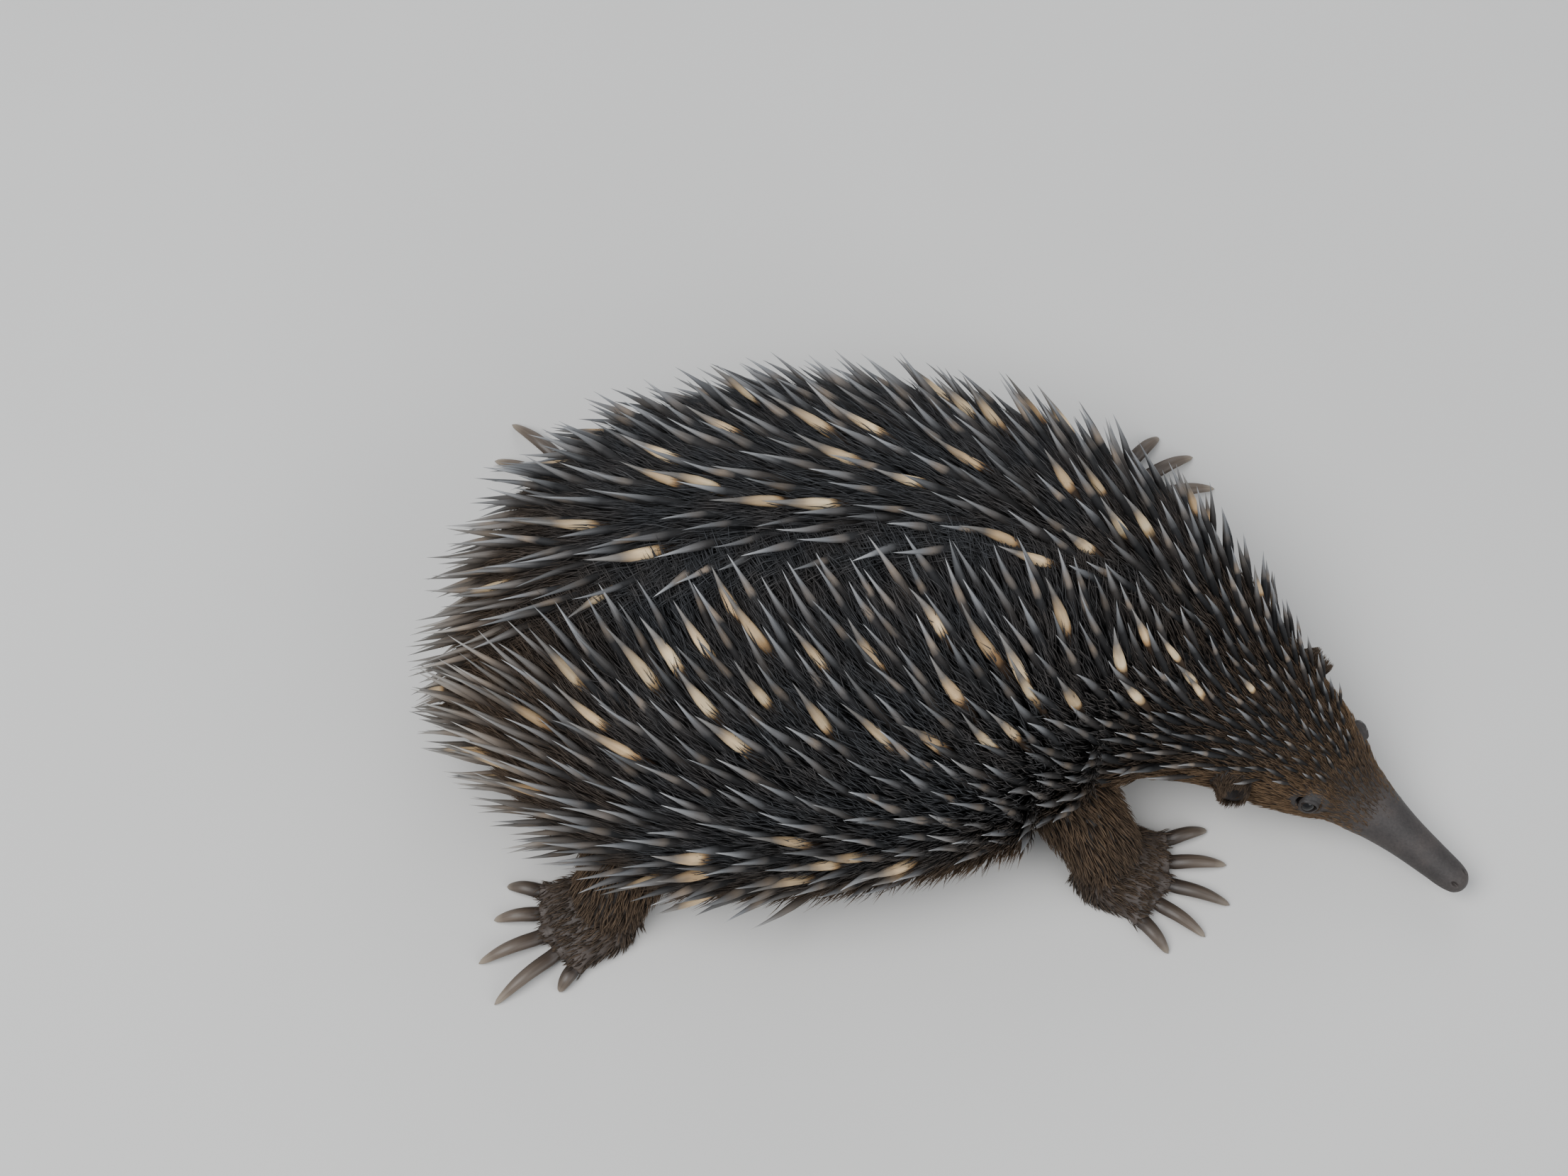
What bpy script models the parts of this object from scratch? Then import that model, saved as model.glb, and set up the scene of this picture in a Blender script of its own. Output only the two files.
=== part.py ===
"""A short-beaked echidna at life size, crouched on the floor with its head lowered and turned to its right.

Metres, +Z up, +X towards the head. The origin is on the floor, at the middle of the flat of the belly.
The body is one smooth form along a bent axis, parted across that axis into its nodes. The solids hold
the body out to the fur between the spines, and the spines stand on it.
"""

import math

import bmesh
import bpy
import numpy as np
from mathutils import Matrix, Vector
from mathutils.bvhtree import BVHTree

for old in list(bpy.data.objects):
    bpy.data.objects.remove(old)

MM = 0.001
GAP = 0.3 * MM

# Each station of the body: its middle, the half width, and the height above and the depth below that
# middle, in metres.
STATIONS = {
    #               x       y       z      width  rise   drop
    "tail tip": (-0.168, -0.0170, 0.0320, 0.005, 0.005, 0.005),
    "tail": (-0.158, -0.0165, 0.0350, 0.018, 0.017, 0.015),
    "tail root": (-0.146, -0.0155, 0.0400, 0.036, 0.031, 0.029),
    "rump": (-0.129, -0.0135, 0.0450, 0.063, 0.048, 0.045),
    "hips": (-0.102, -0.0095, 0.0490, 0.087, 0.065, 0.054),
    "loin": (-0.064, -0.0040, 0.0510, 0.102, 0.077, 0.058),
    "back": (-0.020, 0.0010, 0.0510, 0.106, 0.084, 0.058),
    "ribs": (0.030, 0.0045, 0.0500, 0.101, 0.085, 0.057),
    "shoulders": (0.075, 0.0055, 0.0490, 0.089, 0.077, 0.055),
    "nape": (0.112, 0.0010, 0.0475, 0.072, 0.063, 0.048),
    "neck": (0.142, -0.0100, 0.0450, 0.055, 0.049, 0.040),
    "occiput": (0.167, -0.0240, 0.0415, 0.042, 0.037, 0.033),
    "crown": (0.188, -0.0375, 0.0370, 0.033, 0.028, 0.027),
    "brow": (0.206, -0.0500, 0.0315, 0.025, 0.020, 0.021),
    "beak root": (0.220, -0.0605, 0.0265, 0.0160, 0.0125, 0.0140),
    "beak": (0.238, -0.0745, 0.0205, 0.0098, 0.0082, 0.0088),
    "beak end": (0.259, -0.0915, 0.0150, 0.0066, 0.0057, 0.0056),
    "beak tip": (0.265, -0.0965, 0.0140, 0.0045, 0.0038, 0.0036),
}

# The body's section is an ellipse where it is narrow, and squarer, most so below, where it is wide.
BELLY_SQUARE = 0.6
BACK_SQUARE = 0.15
ROUND_WIDTH = 20 * MM
SQUARE_WIDTH = 85 * MM

# Where each length of the body starts, as a station and a distance in front of it. A length that carries
# spines starts between two rows of them, a little behind the middle, because their roots spread backwards.
LENGTHS = {
    "tail": ("tail tip", 0.0),
    "rump": ("tail root", 4 * MM),
    "back": ("loin", 0.0),
    "shoulders": ("ribs", 12 * MM),
    "neck": ("nape", 14 * MM),
    "head": ("occiput", 6 * MM),
    "snout": ("beak root", 2 * MM),
}
CUT_BETWEEN_ROWS = 0.42
AROUND = 28
SNOUT_AROUND = 20
RING_STEP = 14 * MM
HEAD_RING_STEP = 9 * MM
RUN_STEPS = 900
CUTTER_BELOW = 3 * MM

# The coat over each stretch of the body: how far round from the top of the back the spines reach in degrees,
# their length and half thickness in millimetres and their lift from the surface in degrees. Then come the
# degrees that they turn towards the animal's left from straight back, beside the furrow that runs down the
# middle of the back, on the flank and at the coat's lower edge, first on the right side and then on the left.
# The last is how many degrees the lift changes by at the right side's lower edge.
COAT = {
    #            reach  length thick lift  furrow flank edge  furrow flank edge  lift
    "tail tip": (150.0, 24.0, 1.5, 30.0, -12.0, -12.0, -4.0, 12.0, 12.0, 4.0, 5.0),
    "tail root": (126.0, 31.0, 1.9, 36.0, 34.0, 28.0, 10.0, 0.0, 14.0, 5.0, 5.0),
    "rump": (114.0, 35.0, 2.1, 35.0, 54.0, 50.0, 18.0, -12.0, 20.0, 6.0, 5.0),
    "hips": (105.0, 35.0, 2.2, 31.0, 68.0, 54.0, 20.0, -22.0, 30.0, 9.0, 4.0),
    "loin": (101.0, 34.0, 2.2, 28.0, 76.0, 50.0, 25.0, -38.0, 42.0, 12.0, 1.0),
    "back": (99.0, 34.0, 2.2, 27.0, 66.0, 50.0, 34.0, -34.0, 38.0, 11.0, -4.0),
    "ribs": (98.0, 33.0, 2.2, 27.0, 57.0, 46.0, 44.0, -26.0, 28.0, 8.0, -11.0),
    "shoulders": (96.0, 31.0, 2.1, 28.0, 57.0, 40.0, 58.0, -4.0, 26.0, 8.0, -18.0),
    "nape": (93.0, 26.0, 1.9, 30.0, 44.0, 30.0, 55.0, 0.0, 14.0, 4.0, -18.0),
    "neck": (86.0, 20.0, 1.6, 30.0, 20.0, 16.0, 36.0, -2.0, 6.0, 2.0, -13.0),
    "occiput": (74.0, 15.0, 1.3, 28.0, 6.0, 4.0, 10.0, -2.0, 2.0, 0.0, -4.0),
    "crown": (56.0, 10.0, 1.0, 26.0, 0.0, 0.0, 0.0, 0.0, 0.0, 0.0, 5.0),
    "brow": (30.0, 6.0, 0.8, 22.0, 0.0, 0.0, 0.0, 0.0, 0.0, 0.0, 5.0),
}
SEED = 12
# Spines of full length stand this far apart along and across the body, and shorter ones closer together.
ROW_STEP = 16.5 * MM
SPINE_STEP = 16.1 * MM
FULL_LENGTH = 34.0
FINER = 0.45
FIRST_ROW = 0.45
# Chance moves of a root, as a share of the step, of the lift and the turn, in degrees, and of the length.
ROOT_JITTER = 0.09
LIFT_JITTER = 5.0
TURN_JITTER = 7.0
LENGTH_JITTER = 0.12
# The shares of the reach over which the turn changes from beside the furrow to the flank, on the right side
# and on the left, and from the flank to the coat's lower edge.
RIGHT_CHANGES = (0.10, 0.45)
LEFT_CHANGES = (0.0, 0.38)
EDGE_CHANGES = (0.55, 0.95)
# The lift changes by so many degrees at the top of the back and at the left side's lower edge.
MIDDLE_LIFT = -3.0
LEFT_EDGE_LIFT = 5.0
# A spine ends where it has crossed the furrow by this much, and is left out if less than this share of it
# would be left.
FURROW_CROSSED = 3 * MM
LEAST_LEFT = 0.72
# A root is sunk this deep, and set back against the spine's lie. Its size there is a share of the thickness,
# and the spine is fullest at a share of its length.
SPINE_SIDES = 4
SPINE_DEPTH = 3.2 * MM
SPINE_BEHIND = 2.0 * MM
SPINE_ROOT = 0.75
SPINE_FULLEST = 0.42
PLAIN_CONE_UNDER = 21 * MM
SPINE_CLEAR = 0.35 * MM
FLOOR_CLEAR = 5 * MM
# A spine that would touch another node is tried again with more or less lift, and then shorter.
SPINE_TRIES = ((0.0, 1.0), (8.0, 1.0), (-7.0, 1.0), (16.0, 0.9), (24.0, 0.75))

EYE_ANGLE = 60.0
EYE_RADIUS = 4.5 * MM
EYE_SUNK = 3.0 * MM
LID = 1.2 * MM
LID_OPENING = (4.3 * MM, 3.0 * MM)
NOSTRIL_ANGLE = 38.0
NOSTRIL_BEHIND_TIP = 4.5 * MM
NOSTRIL = (1.9 * MM, 1.1 * MM)
MOUTH_LENGTH = 15 * MM
MOUTH_HEIGHT = 0.5 * MM
MOUTH_BELOW = 0.8 * MM

# The ear stands this share of the way from the occiput to the crown. Its radii are across, up and outwards.
EAR_PLACE = 0.66
EAR_ANGLE = 82.0
EAR = (6.5 * MM, 9.5 * MM, 5.0 * MM)
EAR_RIM = 1.3 * MM
EAR_TURN = 18.0

# Each leg: its middles from inside the body down to the foot, on the left side, with its half thickness.
LEGS = {
    "front": (
        ((0.082, 0.046, 0.036), (0.098, 0.064, 0.028), (0.109, 0.078, 0.018), (0.113, 0.084, 0.008)),
        (0.021, 0.0195, 0.0175, 0.016),
    ),
    "hind": (
        ((-0.080, 0.054, 0.034), (-0.090, 0.074, 0.026), (-0.098, 0.089, 0.017), (-0.101, 0.094, 0.008)),
        (0.023, 0.0205, 0.018, 0.0165),
    ),
}
LEG_AROUND = 14
LEG_RINGS = 6
# Each foot: its heading on each side in degrees from +X towards the left, its reach behind and before the
# ankle, and the lengths of its claws from the first toe in millimetres. The hind feet are turned outwards
# until they point back, as they do in life, so that the first toe is in front.
FEET = {
    "front": ({"left": 10.0, "right": -18.0}, (-12 * MM, 22 * MM), (18, 24, 26, 24, 17)),
    "hind": ({"left": 157.0, "right": -157.0}, (-11 * MM, 24 * MM), (10, 33, 28, 19, 14)),
}
# A share of the way along the palm, with its half width and its half height there.
PALM = ((0.0, 0.0125, 0.0115), (0.35, 0.0185, 0.0155), (0.75, 0.0205, 0.0110), (1.0, 0.0175, 0.0065))
PALM_MIDDLE = 4.5 * MM
FOOT_AROUND = 14
TOE_RADIUS = 4.8 * MM
TOE_TAPER = 0.88
TOE_LENGTH = 11 * MM
TOE_MIDDLE = 4.2 * MM
TOE_FAN = 17.0
TOE_STEP = 6.6 * MM
TOE_BACK = 3.6 * MM
OUTER_TOE_BACK = 2.7 * MM
TOE_AROUND = 8
CLAW_WIDTH = 3.4 * MM
CLAW_HEIGHT = 2.5 * MM
CLAW_TIP_HEIGHT = 1.0 * MM
CLAW_ARCH = 0.10
CLAW_AROUND = 8

SIDES = {"left": 1, "right": -1}
# Colour and roughness, by a word of the node's name.
FINISHES = {
    "eye": ((0.006, 0.005, 0.005), 0.12),
    "claw": ((0.120, 0.095, 0.075), 0.45),
    "foot": ((0.070, 0.055, 0.045), 0.75),
    "snout": ((0.055, 0.045, 0.042), 0.6),
}
COAT_FINISH = ((0.075, 0.055, 0.040), 0.8)


def smooth_curve(knots, values):
    """A cubic through the values at the knots that doesn't overshoot, as a function of the knots' axis."""
    step = np.diff(knots)[:, None]
    rise = np.diff(values, axis=0) / step
    before, after = rise[:-1], rise[1:]
    alike = before * after > 0
    mean = 2 * before * after / np.where(alike, before + after, 1.0)
    slope = np.vstack([rise[:1], np.where(alike, mean, 0.0), rise[-1:]])

    def read(at):
        at = np.atleast_1d(at)
        i = np.clip(np.searchsorted(knots, at) - 1, 0, len(knots) - 2)
        h = step[i]
        t = ((at - knots[i]) / h[:, 0])[:, None]
        start = (1 + 2 * t) * (1 - t) ** 2 * values[i] + t * (1 - t) ** 2 * h * slope[i]
        end = t**2 * (3 - 2 * t) * values[i + 1] + t**2 * (t - 1) * h * slope[i + 1]
        return start + end

    return read


SIZES = np.array(list(STATIONS.values()))
KNOTS = np.concatenate([[0.0], np.cumsum(np.linalg.norm(np.diff(SIZES[:, :3], axis=0), axis=1))])
ALONG = dict(zip(STATIONS, KNOTS))
read_sizes = smooth_curve(KNOTS, SIZES)
read_coat = smooth_curve(np.array([ALONG[place] for place in COAT]), np.array(list(COAT.values())))


def body_frame(along):
    """The body's middle, forward, left and up directions and sizes, at distances from the tail tip."""
    along = np.atleast_1d(along)
    sizes = read_sizes(along)
    ahead = read_sizes(np.minimum(along + 2 * MM, KNOTS[-1]))[:, :3]
    behind = read_sizes(np.maximum(along - 2 * MM, 0.0))[:, :3]
    forward = ahead - behind
    forward /= np.linalg.norm(forward, axis=1)[:, None]
    left = np.cross([0.0, 0.0, 1.0], forward)
    left /= np.linalg.norm(left, axis=1)[:, None]
    return sizes[:, :3], forward, left, np.cross(forward, left), sizes[:, 3:]


def body_point(along, angle, outward=0.0, floor=0.0):
    """Points of the body's surface. The angle is 0 at the top of the back and grows towards the left side."""
    along, angle = np.broadcast_arrays(np.atleast_1d(along), np.atleast_1d(angle))
    middle, _, left, up, sizes = body_frame(along)
    width, rise, drop = (sizes[:, k] + outward for k in range(3))
    square = np.clip((width - ROUND_WIDTH) / (SQUARE_WIDTH - ROUND_WIDTH), 0, 1)
    low = np.cos(angle) < 0
    power = 2 / (2 + square * np.where(low, BELLY_SQUARE, BACK_SQUARE))
    sideways = np.sign(np.sin(angle)) * np.abs(np.sin(angle)) ** power * width
    upwards = np.abs(np.cos(angle)) ** power * np.where(low, -drop, rise)
    points = middle + left * sideways[:, None] + up * upwards[:, None]
    points[:, 2] = np.maximum(points[:, 2], floor)
    return points


def unit(vector):
    return vector / np.linalg.norm(vector, axis=-1, keepdims=True)


def finish(made):
    """Gives a node its own material."""
    colour, roughness = next((v for word, v in FINISHES.items() if word in made.name.split("_")), COAT_FINISH)
    look = bpy.data.materials.new(made.name)
    look.use_nodes = True
    shader = look.node_tree.nodes["Principled BSDF"]
    shader.inputs["Base Color"].default_value = (*colour, 1.0)
    shader.inputs["Roughness"].default_value = roughness
    shader.inputs["Metallic"].default_value = 0.0
    made.data.materials.clear()
    made.data.materials.append(look)


def mesh_object(name, vertices, faces):
    mesh = bpy.data.meshes.new(name)
    mesh.from_pydata([tuple(v) for v in vertices], [], faces)
    shape = bmesh.new()
    shape.from_mesh(mesh)
    bmesh.ops.recalc_face_normals(shape, faces=shape.faces)
    shape.to_mesh(mesh)
    shape.free()
    mesh.shade_smooth()
    mesh.set_sharp_from_angle(angle=math.radians(40))
    made = bpy.data.objects.new(name, mesh)
    bpy.context.scene.collection.objects.link(made)
    return made


def loft(name, rings, flat_sided=False):
    """A closed solid through rings of equal length, flat at both ends, or pointed where a ring is one place.

    Sides that aren't flat are split into triangles in one same way, so that a cutter keeps its distance.
    """
    count = len(rings[0])
    vertices, starts = [], []
    for ring in rings:
        starts.append(len(vertices))
        pointed = np.ptp(ring, axis=0).max() < 0.01 * MM
        vertices.extend(ring[:1] if pointed else ring)
    sizes = np.diff(starts + [len(vertices)])
    faces = []
    for at, size, then, following in zip(starts, sizes, starts[1:], sizes[1:]):
        for k in range(count):
            n = (k + 1) % count
            if size == 1:
                faces.append((at, then + n, then + k))
            elif following == 1:
                faces.append((at + k, at + n, then))
            elif flat_sided:
                faces.append((at + k, at + n, then + n, then + k))
            else:
                faces += [(at + k, at + n, then + n), (at + k, then + n, then + k)]
    for at, size in ((starts[0], sizes[0]), (starts[-1], sizes[-1])):
        if size > 1:
            faces.append(tuple(range(at, at + count)))
    return mesh_object(name, vertices, faces)


def tube(name, middles, widths, heights, around, grown=0.0):
    """A loft along a bent line of middles, with a half width and a half height at each, kept above the floor.

    A grown one is larger by that much on every side, and reaches below the floor: it is used to cut.
    """
    middles = np.array(middles, float)
    forward = unit(np.gradient(middles, axis=0))
    middles[0] -= forward[0] * grown
    middles[-1] += forward[-1] * grown
    left = unit(np.cross([0.0, 0.0, 1.0], forward))
    up = np.cross(forward, left)
    turn = np.linspace(0, 2 * math.pi, around, endpoint=False)
    across = np.multiply.outer(np.array(widths) + grown, np.sin(turn))[:, :, None] * left[:, None]
    above = np.multiply.outer(np.array(heights) + grown, np.cos(turn))[:, :, None] * up[:, None]
    rings = middles[:, None] + across + above
    rings[:, :, 2] = np.maximum(rings[:, :, 2], -CUTTER_BELOW if grown else 0.0)
    return loft(name, rings)


def ball(name, centre, axes, radii, segments, rings):
    """An ellipsoid with its radii along three directions."""
    shape = bmesh.new()
    bmesh.ops.create_uvsphere(shape, u_segments=segments, v_segments=rings, radius=1.0)
    place = Matrix.Translation(Vector(centre)) @ Matrix(np.array(axes).T.tolist()).to_4x4()
    bmesh.ops.transform(shape, matrix=place @ Matrix.Diagonal((*radii, 1.0)), verts=shape.verts)
    vertices = [v.co.copy() for v in shape.verts]
    faces = [[v.index for v in f.verts] for f in shape.faces]
    shape.free()
    return mesh_object(name, vertices, faces)


def largest_body(mesh):
    """Keeps the mesh's largest closed surface and drops any loose scrap or sealed hollow."""
    shape = bmesh.new()
    shape.from_mesh(mesh)
    waiting = set(shape.faces)
    bodies = []
    while waiting:
        body, fresh = set(), [waiting.pop()]
        while fresh:
            face = fresh.pop()
            body.add(face)
            near = {f for e in face.edges for f in e.link_faces} & waiting
            waiting -= near
            fresh.extend(near)
        bodies.append(body)
    # A closed surface's volume is a third of the sum of its faces' areas times their heights from the origin.
    largest = max(bodies, key=lambda faces: sum(f.normal.dot(f.verts[0].co) * f.calc_area() for f in faces))
    bmesh.ops.delete(shape, geom=[f for f in shape.faces if f not in largest], context="FACES")
    shape.to_mesh(mesh)
    shape.free()


def combine(body, pieces, operation):
    """One Boolean of the body with all the pieces, which are then removed."""
    group = bpy.data.collections.new(body.name + " pieces")
    bpy.context.scene.collection.children.link(group)
    for piece in pieces:
        bpy.context.scene.collection.objects.unlink(piece)
        group.objects.link(piece)
    modifier = body.modifiers.new("Combine", "BOOLEAN")
    modifier.operation = operation
    modifier.operand_type = "COLLECTION"
    modifier.collection = group
    modifier.solver = "EXACT"
    graph = bpy.context.evaluated_depsgraph_get()
    mesh = bpy.data.meshes.new_from_object(body.evaluated_get(graph))
    body.modifiers.clear()
    body.data = mesh
    for piece in pieces:
        bpy.data.objects.remove(piece)
    bpy.data.collections.remove(group)
    largest_body(mesh)


def surface_run():
    """Distances along the body, and how long its surface is up to each, as a mean over back and flanks."""
    along = np.linspace(0.0, KNOTS[-1], RUN_STEPS)
    lines = [body_point(along, angle) for angle in (-0.9, 0.0, 0.9)]
    steps = np.mean([np.linalg.norm(np.diff(line, axis=0), axis=1) for line in lines], axis=0)
    return along, np.concatenate([[0.0], np.cumsum(steps)])


def fineness(along):
    """How close together the spines stand: 1 where they are full length, and less where they are short."""
    return (read_coat(along)[:, 1] / FULL_LENGTH) ** FINER


def spine_rows():
    """The distances along the body of the rows of spines."""
    along, run = surface_run()
    coated = along <= ALONG["brow"]
    along, run = along[coated], run[coated]
    count = np.concatenate([[0.0], np.cumsum(np.diff(run) / (ROW_STEP * fineness(along[1:])))])
    return np.interp(np.arange(FIRST_ROW, count[-1]), count, along)


def body_cuts(rows):
    """Where each length of the body starts, moved to lie between two rows of spines."""
    cuts = {}
    for name, (station, ahead) in LENGTHS.items():
        wanted = ALONG[station] + ahead
        after = np.searchsorted(rows, wanted)
        if 0 < after < len(rows):
            wanted = rows[after - 1] + CUT_BETWEEN_ROWS * (rows[after] - rows[after - 1])
        cuts[name] = wanted
    return cuts


def ring_stops(start, end, step):
    """Distances from start to end, evenly spread over the surface about one step apart."""
    along, run = surface_run()
    first, last = np.interp([start, end], along, run)
    count = max(3, round((last - first) / step) + 1)
    return np.interp(np.linspace(first, last, count), run, along)


def body_length(name, stops, grown=0.0):
    """The body through rings at the stops, half a gap short at each flat end, or grown all over to cut."""
    turn = np.linspace(0, 2 * math.pi, SNOUT_AROUND if name == "snout" else AROUND, endpoint=False)
    floor = -CUTTER_BELOW if grown else 0.0
    rings = [body_point(stop, turn, grown, floor) for stop in stops]
    _, forward, *_ = body_frame(stops[[0, -1]])
    rings[0] = rings[0] + forward[0] * (GAP / 2 - grown)
    rings[-1] = rings[-1] - forward[1] * (GAP / 2 - grown)
    return loft(name, np.array(rings))


def surface_frame(along, angle):
    """A place on the body with its outward, backward and turning directions there."""
    behind, ahead = body_point([along - 1 * MM, along + 1 * MM], angle, floor=-1.0)
    before, after = body_point(along, [angle - 0.02, angle + 0.02], floor=-1.0)
    around = unit(after - before)
    normal = unit(np.cross(around, unit(behind - ahead)))
    return body_point(along, angle)[0], normal, np.cross(normal, around), around


def row_angles(row, shift):
    """The angles of the spines of one row, even steps apart over the surface."""
    reach = math.radians(read_coat(row)[0, 0])
    angles = np.linspace(-reach, reach, 241)
    steps = np.linalg.norm(np.diff(body_point(row, angles), axis=0), axis=1)
    run = np.concatenate([[0.0], np.cumsum(steps)])
    step = SPINE_STEP * fineness(row)[0]
    half = int(run[-1] / 2 / step) + 1
    wanted = run[-1] / 2 + (np.arange(-half, half + 1) + shift) * step
    return np.interp(wanted[(wanted > 0) & (wanted < run[-1])], run, angles)


def spine_shape(place, normal, direction, length, thick, grown=0.0):
    """The rings of one spine: sunk into the body, thickest below its middle, and pointed at its far end.

    A short one is a plain cone.
    """
    side = unit(np.cross(direction, normal))
    over = np.cross(side, direction)
    along_skin = unit(direction - normal * direction.dot(normal))
    turn = (np.arange(SPINE_SIDES) + 0.5) * 2 * math.pi / SPINE_SIDES
    section = np.outer(np.sin(turn), side) + np.outer(np.cos(turn), over)
    root = place - normal * SPINE_DEPTH - along_skin * SPINE_BEHIND
    tip = np.repeat([place + direction * (length + grown)], SPINE_SIDES, axis=0)
    if length < PLAIN_CONE_UNDER:
        return np.array([root + section * (thick + grown), tip])
    fullest = place + direction * length * SPINE_FULLEST + section * (thick + grown)
    return np.array([root + section * (thick * SPINE_ROOT + grown), fullest, tip])


def tree_of(made):
    return BVHTree.FromPolygons([v.co for v in made.data.vertices], [p.vertices for p in made.data.polygons])


def spine_tree(rings):
    """The surface of one spine, to be tested against what it must stay clear of."""
    n = SPINE_SIDES
    vertices = [tuple(vertex) for vertex in rings.reshape(-1, 3)]
    starts = range(0, n * (len(rings) - 1), n)
    faces = [(at + k, at + (k + 1) % n, at + n + (k + 1) % n, at + n + k) for at in starts for k in range(n)]
    return BVHTree.FromPolygons(vertices, faces)


def spine_direction(along, angle, frame, lift_more, chance):
    """The way one spine points, from the coat's lie at its place."""
    _, normal, backward, around = frame
    reach, _, _, lift, *turns, right_edge_lift = read_coat(along)[0]
    share = abs(math.degrees(angle)) / reach
    furrow, flank, edge = turns[:3] if angle < 0 else turns[3:]
    edge_lift = right_edge_lift if angle < 0 else LEFT_EDGE_LIFT
    turn = np.interp(share, RIGHT_CHANGES if angle < 0 else LEFT_CHANGES, (furrow, flank))
    turn += np.interp(share, EDGE_CHANGES, (0.0, edge - flank)) + TURN_JITTER * chance[1]
    lift += lift_more + MIDDLE_LIFT + (edge_lift - MIDDLE_LIFT) * share + LIFT_JITTER * chance[0]
    lift, turn = math.radians(lift), math.radians(turn)
    lying = math.cos(turn) * backward + math.sin(turn) * around
    return math.cos(lift) * lying + math.sin(lift) * normal


def share_before_furrow(along, place, reach):
    """How much of a spine's reach ends before it has crossed the furrow by more than it may."""
    middle, _, left, _, _ = (part[0] for part in body_frame(along))
    off = (place - middle).dot(left)
    towards = -math.copysign(1.0, off) * reach.dot(left)
    return (abs(off) + FURROW_CROSSED) / towards if towards > 0 else math.inf


def spines(rows, cuts, others):
    """The rings of every spine of each length of the body, clear of the other nodes and of their spines."""
    chances = np.random.default_rng(SEED)
    names, starts = list(cuts), np.array(list(cuts.values()))
    accepted = {name: [] for name in names}
    placed = []
    for number, row in enumerate(rows):
        step = SPINE_STEP * fineness(row)[0]
        for angle in row_angles(row, 0.5 * (number % 2)):
            chance = chances.uniform(-1, 1, 5)
            along = row + ROOT_JITTER * step * chance[2]
            angle += ROOT_JITTER * step / read_sizes(row)[0, 3] * chance[3]
            name = names[np.searchsorted(starts, along) - 1]
            frame = surface_frame(along, angle)
            _, length, thick, *_ = read_coat(along)[0]
            length *= MM * (1 + LENGTH_JITTER * chance[4])
            direction = spine_direction(along, angle, frame, 0.0, chance)
            before_furrow = share_before_furrow(along, frame[0], direction * length)
            if before_furrow < LEAST_LEFT:
                continue
            length *= min(1.0, before_furrow)
            for lift_more, share in SPINE_TRIES:
                direction = spine_direction(along, angle, frame, lift_more, chance)
                measures = frame[0], frame[1], direction, length * share, thick * MM
                if frame[0][2] + direction[2] * length * share < FLOOR_CLEAR:
                    continue
                tree = spine_tree(spine_shape(*measures, grown=SPINE_CLEAR))
                near = [t for n, p, t in placed if n != name and np.linalg.norm(p - frame[0]) < 3 * length]
                near += [t for n, t in others.items() if n != name]
                if not any(tree.overlap(t) for t in near):
                    rings = spine_shape(*measures)
                    accepted[name].append(rings)
                    placed.append((name, frame[0], spine_tree(rings)))
                    break
    return accepted


def eyes_and_lids(head):
    """The ball of each eye in a node of its own, in a socket whose lids stand round an opening."""
    lids, cutters = [], []
    for side, sign in SIDES.items():
        place, normal, backward, _ = surface_frame(ALONG["brow"], sign * math.radians(EYE_ANGLE))
        centre = place - normal * EYE_SUNK
        axes = (backward, np.cross(normal, backward), normal)
        opening = (*LID_OPENING, EYE_RADIUS + 2 * LID)
        ball(f"eye_{side}", centre, axes, [EYE_RADIUS] * 3, 12, 8)
        lids.append(ball("lid", centre, axes, [EYE_RADIUS + GAP + LID] * 3, 12, 8))
        cutters.append(ball("socket", centre, axes, [EYE_RADIUS + GAP] * 3, 12, 8))
        cutters.append(ball("opening", centre + normal * EYE_RADIUS, axes, opening, 12, 8))
    combine(head, lids, "UNION")
    combine(head, cutters, "DIFFERENCE")


def cut_snout(snout):
    """The nostrils near the end of the beak and the short line of the mouth."""
    cutters = []
    for sign in SIDES.values():
        angle = sign * math.radians(NOSTRIL_ANGLE)
        place, normal, backward, _ = surface_frame(KNOTS[-1] - NOSTRIL_BEHIND_TIP, angle)
        axes = (backward, np.cross(normal, backward), normal)
        cutters.append(ball("nostril", place, axes, (*NOSTRIL, 2 * NOSTRIL[1]), 10, 6))
    middle, forward, _, up, sizes = (part[0] for part in body_frame(KNOTS[-1]))
    middles = [middle + forward * stop - up * MOUTH_BELOW for stop in (-MOUTH_LENGTH, 0.0, MOUTH_LENGTH)]
    cutters.append(tube("mouth", middles, [2 * sizes[0]] * 3, [MOUTH_HEIGHT / 2] * 3, 8))
    combine(snout, cutters, "DIFFERENCE")


def ear(side, skull_stops):
    """A small upright cup standing on the side of the head."""
    along = ALONG["occiput"] + EAR_PLACE * (ALONG["crown"] - ALONG["occiput"])
    place, normal, backward, _ = surface_frame(along, SIDES[side] * math.radians(EAR_ANGLE))
    tilt = math.radians(EAR_TURN)
    outward = math.cos(tilt) * normal - math.sin(tilt) * backward
    upright = unit(np.cross(outward, backward))
    axes = (np.cross(upright, outward), upright, outward)
    made = ball(f"ear_{side}", place, axes, EAR, 12, 8)
    hollow = [size - EAR_RIM for size in EAR]
    cup = ball("cup", place + outward * EAR_RIM * 2, axes, hollow, 10, 7)
    skull = body_length("skull", skull_stops, grown=GAP)
    combine(made, [cup, skull], "DIFFERENCE")


def leg_path(kind, side):
    """The middles of a leg, as far to its side of the body's own middle as its table says."""
    path = np.array(LEGS[kind][0])
    path[:, 1] = path[:, 1] * SIDES[side] + np.interp(path[-1, 0], SIZES[:, 0], SIZES[:, 1])
    return path


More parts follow.
